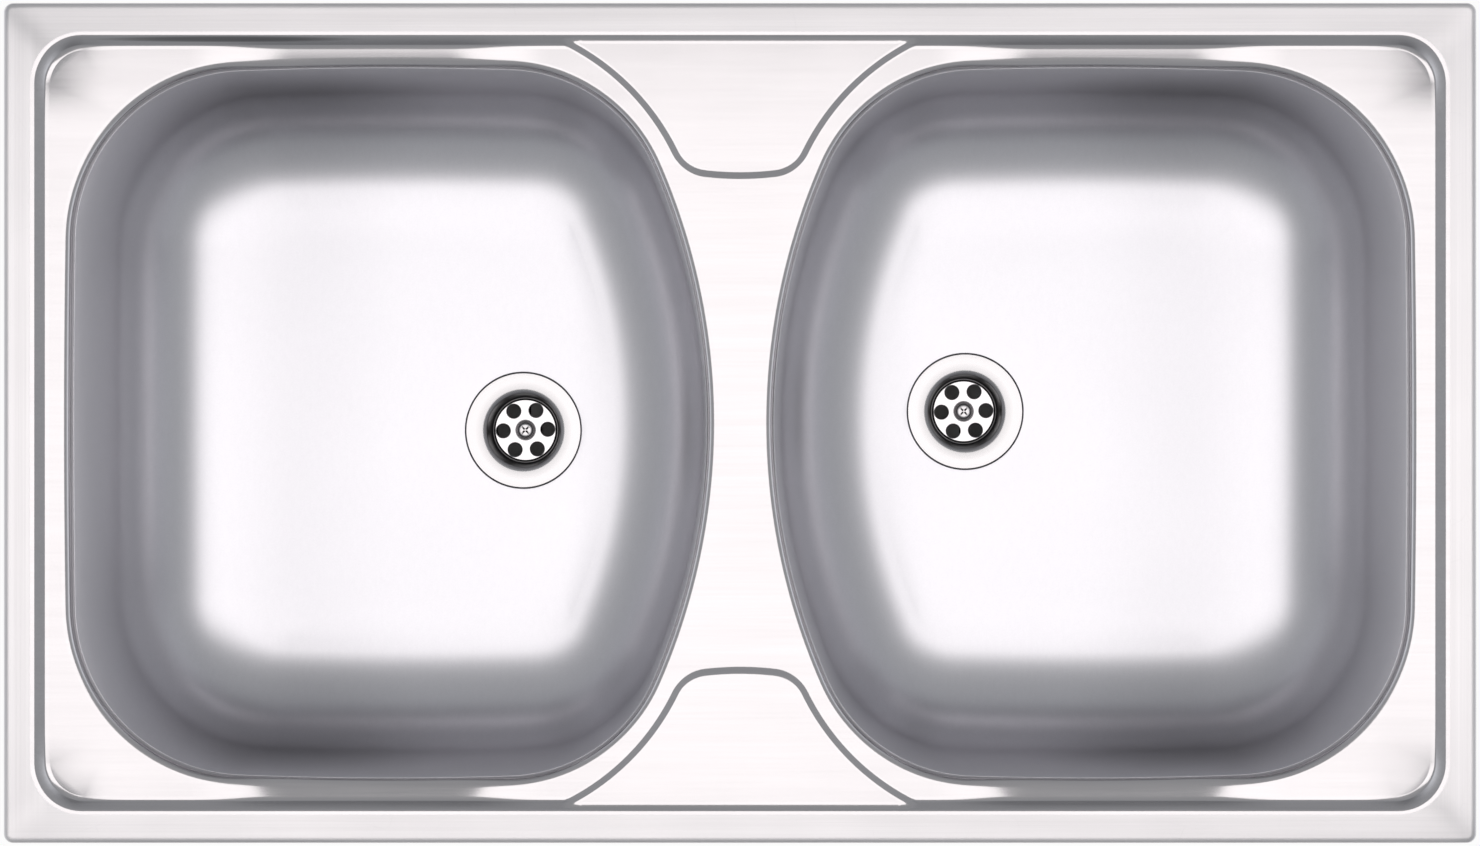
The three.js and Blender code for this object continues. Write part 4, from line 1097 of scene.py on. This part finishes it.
def thread_tree():
    """A core with a thread wound round it."""
    tree, given = shape_tree("screw thread", Turns="Float", Pitch="Float", Root_Radius="Float", Depth="Float",
                             Low_End="Float", Steps_a_Turn="Int")
    rise = maths(tree, "MULTIPLY", given["Turns"], given["Pitch"])
    helix = node(tree, "GeometryNodeCurveSpiral", {
        "Resolution": given["Steps a Turn"], "Rotations": given["Turns"],
        "Start Radius": given["Root Radius"], "End Radius": given["Root Radius"], "Height": rise})
    upright = node(tree, "GeometryNodeSetCurveNormal", {"Curve": helix.outputs[0]}, mode="Z_UP")
    diamond = node(tree, "GeometryNodeCurvePrimitiveCircle", {"Resolution": 4, "Radius": 1.0}).outputs[0]
    half_pitch = maths(tree, "MULTIPLY", given["Pitch"], 0.46)
    scale = node(tree, "ShaderNodeCombineXYZ", {0: given["Depth"], 1: half_pitch, 2: 1.0}).outputs[0]
    ridge = node(tree, "GeometryNodeTransform", {"Geometry": diamond, "Scale": scale}).outputs[0]
    wound = node(tree, "GeometryNodeCurveToMesh", {"Curve": upright.outputs[0], "Profile Curve": ridge,
                                                   "Fill Caps": True}).outputs[0]
    low = node(tree, "ShaderNodeCombineXYZ", {2: given["Low End"]}).outputs[0]
    raised = node(tree, "GeometryNodeTransform", {"Geometry": wound, "Translation": low}).outputs[0]
    joined = node(tree, "GeometryNodeJoinGeometry")
    tree.links.new(given["Geometry"], joined.inputs[0])
    tree.links.new(raised, joined.inputs[0])
    return end_tree(tree, joined.outputs[0], given["Material"])


winding = thread_tree()


def wind(piece, turns, pitch, root, depth, low, steps=24):
    """Winds a thread round a piece, with lengths in mm."""
    shape_with(piece, winding, {
        "Turns": turns, "Pitch": pitch * MM, "Root Radius": root * MM, "Depth": depth * MM,
        "Low End": low * MM, "Steps a Turn": steps, "Material": piece.data.materials[0]})


head_section = [(0, SCREW_TIP_Z)] + eased(
    [(0.1, SCREW_TIP_Z), (2.1, SCREW_TIP_Z), (2.5, SCREW_TIP_Z + 0.8), (2.5, SCREW_HEAD_Z + 0.3),
     (4.4, SCREW_HEAD_Z + 0.3), (5.0, -13.7), (3.6, -12.45), (0.1, -12.31)],
    [0, 0.2, 0.2, 0.2, 0.3, 0.7, 2.0, 0], closed=False, bends=6) + [(0, -12.3)]
pan_screw = make_piece("screw_pattern", *lathe(head_section, 64), bright)


def prism(first, last):
    """Points and faces between two outlines that have the same number of corners."""
    n = len(first)
    sides = [(i, (i + 1) % n, (i + 1) % n + n, i + n) for i in range(n)]
    return np.array(first + last), [tuple(range(n)), tuple(range(2 * n - 1, n - 1, -1))] + sides


arm_profile = [(-0.05, 0.62), (2.15, 0.5), (2.35, 0.0), (2.15, -0.5), (-0.05, -0.62)]
arm = prism([(x, y, -12.0) for x, y in arm_profile], [(x * 0.72, y * 0.75, -13.9) for x, y in arm_profile])
cross_tool = make_piece("cross_tool", *arm, bright)
repeat(pan_screw, cross_tool, cut_copies, Count=4, First_Turn=math.pi / 4, Turn_Each=math.pi / 2)
wind(pan_screw, turns=14.0, pitch=1.0, root=2.5, depth=0.5, low=SCREW_TIP_Z + 1.0)
crease(pan_screw)
face_at = gathered(pan_screw.data.polygons, "center") / MM
from_axis, height = np.hypot(face_at[:, 0], face_at[:, 1]), face_at[:, 2]
# Painted shade: the cross recess is painted black and a ring round the head grey, through the groove
# attribute.
in_cross = (from_axis < 2.5) & (height < -12.4) & (height > -14.2)
shade = np.where(in_cross, 1.0, np.interp(from_axis, (2.4, 3.4, 4.6), (0.15, 0.35, 0.5)) * (height > -15.2))
paint(pan_screw, "groove", shade, "FACE")
fit_both("bright_steel", (pan_screw, "cross_screw", "strainer_screw"))

# ---- Seals --------------------------------------------------------------------------------------
# A thin black rubber ring lies under the flange, and a thicker one with two ribs is squeezed
# between the bowl and the waste body. Both are moulded and left with a dull skin.

rubber = speckled("black rubber", ((0.016, 0.016, 0.017, 1), (0.034, 0.034, 0.036, 1)),
                  roughness=(0.55, 0.8), scale=1500, depth=0.04)
RING_LOW, RING_TOP, RING_BORE = -2.3, -0.8, 30.5
ring_section = [(RING_BORE, RING_LOW), (FLANGE_EDGE, RING_LOW), (FLANGE_EDGE, RING_TOP),
                (RING_BORE, RING_TOP)]
ring = make_piece("ring_pattern", *lathe(eased(ring_section, 0.35), 96), rubber)
gasket_section = [(30.4, -6.1), (31.2, -6.1), (31.7, -5.75), (32.4, -5.75), (32.9, -6.1), (33.6, -6.1),
                  (34.1, -5.75), (34.7, -5.75), (35.4, -5.9), (35.4, -3.1), (30.4, -3.1)]
gasket = make_piece("gasket_pattern", *lathe(eased(gasket_section, 0.3, bends=3), 96), rubber)
fit_both("black_rubber", (ring, "flange_ring", "flange_seal"), (gasket, "bowl_gasket", "under_gasket"))

# ---- Waste body ---------------------------------------------------------------------------------
# Moulded in dark plastic: a grooved rim to hold while the screw is driven, a taper down to a
# threaded outlet, and three spokes that carry the boss with its brass insert.

SPOKES, SPOKE_ENDS, GRIPS, GRIP_RADIUS, GRIP_CIRCLE = 3, (6.5, 22.0), 30, 1.5, 36.7

plastic = speckled("dark moulded plastic", ((0.009, 0.0092, 0.0098, 1), (0.015, 0.0153, 0.0162, 1)),
                   roughness=(0.45, 0.56), scale=1100, depth=0.02, shine=0.2)
body_section = eased(
    [(20.9, -60.1), (23.1, -60.1), (23.1, -27.6), (30.0, -15.1), (30.0, -10.1), (36.0, -10.1), (36.0, -6.1),
     (27.0, -6.1), (27.0, -15.1), (20.9, -27.1)],
    [0.4, 0.5, 3.0, 2.5, 0.8, 0.8, 0.6, 1.0, 3.0, 3.0])
body = make_piece("body_pattern", *lathe(body_section, 144), plastic)
spoke_section = eased([(1.5, -27.1), (1.5, -34.1), (-1.5, -34.1), (-1.5, -27.1)], 0.5, bends=3)
inner_end, outer_end = ([(x, y, z) for y, z in spoke_section] for x in SPOKE_ENDS)
spoke_tool = make_piece("spoke_tool", *prism(inner_end, outer_end), plastic)
boss_section = eased([(3.7, -34.1), (8.2, -34.1), (8.2, -17.1), (5.3, -17.1), (5.3, -29.1), (3.7, -29.1)],
                     [0.2, 0.8, 0.6, 0.3, 0.1, 0.1], bends=4)
boss_points, boss_faces = lathe(boss_section, 72)
tube_points = gathered(body.data.vertices, "co") / MM
tube_faces = [tuple(p.vertices) for p in body.data.polygons]
boss_after = [tuple(np.array(f) + len(tube_points)) for f in boss_faces]
bpy.data.objects.remove(body)
body = make_piece("body_pattern", np.concatenate([tube_points, boss_points]), tube_faces + boss_after,
                  plastic)
join_copies = repeating_tree("join copies", "UNION")
repeat(body, spoke_tool, join_copies, Count=SPOKES, First_Turn=math.pi / 2, Turn_Each=2 * math.pi / SPOKES)


def rod(radius, low, high, segments):
    """Points and faces of an upright round tool."""
    return lathe([(0, low), (radius, low), (radius, high), (0, high)], segments)


grip_tool = make_piece("grip_tool", *rod(GRIP_RADIUS, -12, -4, 20), plastic)
repeat(body, grip_tool, cut_copies, Count=GRIPS, Circle_Radius=GRIP_CIRCLE, Turn_Each=2 * math.pi / GRIPS)
wind(body, turns=10.0, pitch=2.3, root=23.05, depth=0.85, low=-58.6, steps=72)
crease(body)
fit_both("dark_plastic", (body, "moulded_waste", "waste_body"))

# ---- Brass insert -------------------------------------------------------------------------------
# A turned brass nut with a knurled outside, moulded into the boss so that the plastic grips it. The
# strainer's screw runs in it, because a thread cut in the plastic alone would strip.

brass, tree = material("turned brass")
tarnish = noise(tree, object_place(tree), 260.0, 4.0)
finish(tree, blend(tree, tarnish, (0.48, 0.31, 0.11, 1), (0.80, 0.60, 0.27, 1)),
       between(tree, tarnish, 0.26, 0.46), tarnish, depth=0.02, Metallic=1.0)

KNURLS, KNURL_DEPTH, KNURL_OUTSIDE = 24, 0.25, 4.6


def knurled(radius, turn):
    """Turns a lathe's circles outside the groove into rings of small ridges."""
    depth = KNURL_DEPTH * (radius > KNURL_OUTSIDE)
    return radius - depth * (0.5 + 0.5 * np.cos(KNURLS * turn))


insert_section = eased([(3.35, -29.1), (5.0, -29.1), (5.0, -24.6), (4.5, -24.2), (4.5, -22.0), (5.0, -21.6),
                        (5.0, -17.1), (3.35, -17.1)], 0.35, bends=3)
insert = make_piece("insert_pattern", *lathe(insert_section, 144, knurled), brass)
crease(insert, 50)
fit_both("brass", (insert, "brass_insert", "thread_insert"))

# ---- Clamp brackets -----------------------------------------------------------------------------
# Zinc-plated strip bent to a bridge and spot welded under the deck through its two feet. A hexagon
# nut is welded under the bridge, and the clamp's screw runs in it.

BRACKET_HALF, BRACKET_FOOT, BRACKET_HEIGHT, BRACKET_SHEET, BRACKET_WIDTH = 12.0, 8.0, 15.0, 1.5, 15.0
BRACKET_BEND, SPOT_WELD_AT = 0.9, 15.8
NUT_ACROSS, NUT_HEIGHT = 8.0, 4.0
BORE = 2.8

zinc, tree = material("bright zinc plate")
here = object_place(tree)
spangle = node(tree, "ShaderNodeTexVoronoi", {"Vector": here, "Scale": 900.0})
cloud = noise(tree, here, 140.0, 4.0)
tone = weighed(tree, cloud, 0.75, spangle.outputs["Distance"], 0.3)
finish(tree, blend(tree, tone, (0.44, 0.46, 0.48, 1), (0.66, 0.68, 0.70, 1)),
       between(tree, tone, 0.30, 0.52), cloud, depth=0.01, Metallic=1.0)

STRIP_BENDS, STRIP_EDGE = 8, 0.25


def bent_strip(path, thickness, width, inside, width_at=None):
    """Strip bent along a path of (x, z) points, with the path on its right face and its edges eased."""
    right, left = [], []
    for i, p in enumerate(path):
        p = np.array(p, float)
        headings = [angle_to(a, b) for a, b in zip(path[max(0, i - 1):], path[max(1, i):i + 2])]
        if len(headings) == 1:
            h = headings[0]
            right.append(p)
            left.append(p + thickness * np.array([-math.sin(h), math.cos(h)]))
            continue
        h = headings[0]
        ahead, leftward = np.array([math.cos(h), math.sin(h)]), np.array([-math.sin(h), math.cos(h)])
        turn = math.remainder(headings[1] - h, 2 * math.pi)
        side = 1 if turn > 0 else -1
        far = inside + thickness if turn > 0 else inside
        reach = far * math.tan(abs(turn) / 2)
        centre = p - reach * ahead + side * far * leftward
        near = inside if turn > 0 else inside + thickness
        for share in np.linspace(0, 1, STRIP_BENDS + 1):
            a = h - side * math.pi / 2 + turn * share
            ray = np.array([math.cos(a), math.sin(a)])
            right.append(centre + far * ray)
            left.append(centre + near * ray)
    right, left = np.array(right), np.array(left)
    rings = []
    for r, l in zip(right, left):
        half = (width if width_at is None else width_at((r[0] + l[0]) / 2)) / 2
        eased_in = STRIP_EDGE / thickness
        section = [(eased_in / 2.5, half - 0.02), (eased_in, half), (1 - eased_in, half),
                   (1, half - STRIP_EDGE), (1, -half + STRIP_EDGE), (1 - eased_in, -half), (eased_in, -half),
                   (0, -half + STRIP_EDGE), (0, half - STRIP_EDGE)]
        rings.append(np.array([(*(r + (l - r) * s), y) for s, y in section])[:, [0, 2, 1]])
    numbers = np.arange(len(rings) * len(rings[0])).reshape(len(rings), -1)
    quads = [f for a, b in zip(numbers, numbers[1:]) for f in ring_faces(a, b)]
    return np.concatenate(rings), quads + [tuple(numbers[0]), tuple(numbers[-1][::-1])]


def hexagon(across):
    """Turns a lathe's circles into a hexagon whose corners are taken back to the circle."""
    def reach(radius, turn):
        flat = across / 2 / np.cos((turn + math.pi / 6) % (math.pi / 3) - math.pi / 6)
        return np.minimum(flat, radius) if radius > across / 2 - 0.4 else radius * np.ones(len(turn))
    return reach


def hexagon_section(low, high, bore, across):
    corner = across / math.sqrt(3)
    return [(bore, low), (across / 2 - 0.3, low), (corner - 0.3, low + 0.28), (corner + 0.01, low + 0.7),
            (corner + 0.01, high - 0.7), (corner - 0.3, high - 0.28), (across / 2 - 0.3, high), (bore, high)]


wide = BRACKET_HALF - BRACKET_SHEET
bridge_path = [(-BRACKET_HALF - BRACKET_FOOT, -BRACKET_SHEET), (-wide, -BRACKET_SHEET),
               (-wide, -BRACKET_HEIGHT), (wide, -BRACKET_HEIGHT), (wide, -BRACKET_SHEET),
               (BRACKET_HALF + BRACKET_FOOT, -BRACKET_SHEET)]
bridge = bent_strip(bridge_path, BRACKET_SHEET, BRACKET_WIDTH, BRACKET_BEND)
bracket = make_piece("bracket_pattern", *bridge, zinc)
bore_tool = make_piece("bore_tool", *rod(BORE, -21, -10, 40), zinc)
repeat(bracket, bore_tool, cut_copies)
dimple = [(0, -BRACKET_SHEET - 1.0), (2.2, -BRACKET_SHEET - 1.0)]
dimple += [(2.2 * math.sin(t), -BRACKET_SHEET + 0.35 * math.cos(t) - 0.1) for t in np.radians((90, 60, 30))]
weld_tool = make_piece("weld_tool", *lathe(dimple + [(0, -BRACKET_SHEET + 0.25)], 28), zinc)
repeat(bracket, weld_tool, cut_copies, Count=2, Start=(-SPOT_WELD_AT, 0, 0), Step=(2 * SPOT_WELD_AT, 0, 0))
nut_section = hexagon_section(-BRACKET_HEIGHT - NUT_HEIGHT, -BRACKET_HEIGHT, BORE, NUT_ACROSS)
nut = make_piece("nut_pattern", *lathe(nut_section, 96, hexagon(NUT_ACROSS)), zinc)
repeat(bracket, nut, join_copies)
crease(bracket, 28)

# ---- Clamp screws -------------------------------------------------------------------------------
# A fully threaded M5 screw with a slotted hexagon head, driven from below. It carries the washer
# and the claw up with it as it runs into the bracket's nut.

CLAMP_TIP, CLAMP_HEAD, CLAMP_ACROSS = -14.0, -54.0, 8.0
CLAMP_END_FACE = CLAMP_HEAD - 3.5
SLOT_TOP, SLOT_HALF = CLAMP_END_FACE + 1.0, 0.6

core_section = [(0, CLAMP_HEAD - 1.0), (2.1, CLAMP_HEAD - 1.0), (2.1, CLAMP_TIP - 0.6), (1.6, CLAMP_TIP),
                (0, CLAMP_TIP)]
clamp_screw = make_piece("clamp_screw_pattern", *lathe(core_section, 40), zinc)
screw_head_section = hexagon_section(CLAMP_END_FACE, CLAMP_HEAD, 0, CLAMP_ACROSS)
head = make_piece("head_pattern", *lathe(screw_head_section, 96, hexagon(CLAMP_ACROSS)), zinc)
slot_low, slot_high = ([(-6, -SLOT_HALF, z), (6, -SLOT_HALF, z), (6, SLOT_HALF, z), (-6, SLOT_HALF, z)]
                       for z in (CLAMP_END_FACE - 1.0, SLOT_TOP))
slot_tool = make_piece("slot_tool", *prism(slot_low, slot_high), zinc)
repeat(head, slot_tool, cut_copies)
repeat(clamp_screw, head, join_copies)
wind(clamp_screw, turns=47.0, pitch=0.8, root=2.05, depth=0.4, low=CLAMP_HEAD + 0.9, steps=16)
crease(clamp_screw, 28)

# ---- Clamp washers and claws --------------------------------------------------------------------
# The claw is strip bent to a U: a plain heel that bears on the bracket and a toothed jaw that bites
# the worktop's underside. A plain washer lets it swing on the screw's head.

CLAW_SHEET, CLAW_WIDTH, CLAW_REACH, CLAW_UNDER = 2.0, 16.0, 29.0, -52.2
CLAW_HEEL, CLAW_HEEL_TOP, CLAW_JAW_TOP = -7.2188, -28.3, -42.2
CLAW_BEND, TEETH, TOOTH_DEPTH = 1.2, 4, 1.6
WASHER_RADIUS, WASHER_LOW, WASHER_TOP = 6.0, -53.7, -52.5

washer_section = eased([(BORE, WASHER_LOW), (WASHER_RADIUS, WASHER_LOW), (WASHER_RADIUS, WASHER_TOP),
                        (BORE, WASHER_TOP)], 0.3, bends=3)
washer = make_piece("washer_pattern", *lathe(washer_section, 64), zinc)


def claw_width(x):
    """The strip narrows by 4 mm from half way to the jaw."""
    return CLAW_WIDTH - 4.0 * np.clip((x - CLAW_REACH / 2) / (CLAW_REACH / 2), 0, 1)


claw_path = [(CLAW_HEEL, CLAW_HEEL_TOP), (CLAW_HEEL, CLAW_UNDER), (CLAW_REACH / 2, CLAW_UNDER),
             (CLAW_REACH, CLAW_UNDER), (CLAW_REACH, CLAW_JAW_TOP)]
claw_strip = bent_strip(claw_path, CLAW_SHEET, CLAW_WIDTH, CLAW_BEND, width_at=claw_width)
claw = make_piece("claw_pattern", *claw_strip, zinc)
claw_bore = make_piece("claw_bore", *rod(BORE, -54, -48, 40), zinc)
repeat(claw, claw_bore, cut_copies)
pitch = CLAW_WIDTH / TEETH
notch = [(-pitch / 2, 0.02), (-0.15, -TOOTH_DEPTH), (0.15, -TOOTH_DEPTH), (pitch / 2, 0.02)]
near_end, far_end = ([(x, y, CLAW_JAW_TOP + z) for y, z in notch] for x in (CLAW_REACH - 4, CLAW_REACH + 2))
notch_tool = make_piece("notch_tool", *prism(near_end, far_end), zinc)
repeat(claw, notch_tool, cut_copies, Count=TEETH + 1, Start=(0, -CLAW_WIDTH / 2, 0), Step=(0, pitch, 0))
crease(claw, 28)

CLAMP_END, CLAMP_CORNER_Y, CLAMP_MIDDLE_Y = 61.0, 191.0786, 194.4393
for row, side_y in (("front", -1), ("rear", 1)):
    for column, side_x in (("left", -1), ("middle", 0), ("right", 1)):
        tag = f"{row}_{column}"
        middle = side_x == 0
        place = (side_x * (LENGTH / 2 - CLAMP_END), side_y * (CLAMP_MIDDLE_Y if middle else CLAMP_CORNER_Y),
                 (RIM_Z - PANEL_RISE if middle else DECK_Z) - SHEET)
        turn = math.pi if side_x < 0 or (middle and side_y < 0) else 0.0
        lay(bracket, f"clamp_bridge_{tag}", turn, place, f"clamp_bracket_{tag}")
        for pattern, name, part in ((clamp_screw, "threaded_screw", "clamp_screw"),
                                    (washer, "plain_washer", "clamp_washer"),
                                    (claw, "toothed_claw", "clamp_claw")):
            lay(pattern, f"{name}_{tag}", turn, place, f"{part}_{tag}", f"{part}_{tag}")
for pattern in (bracket, clamp_screw, washer, claw):
    bpy.data.objects.remove(pattern)
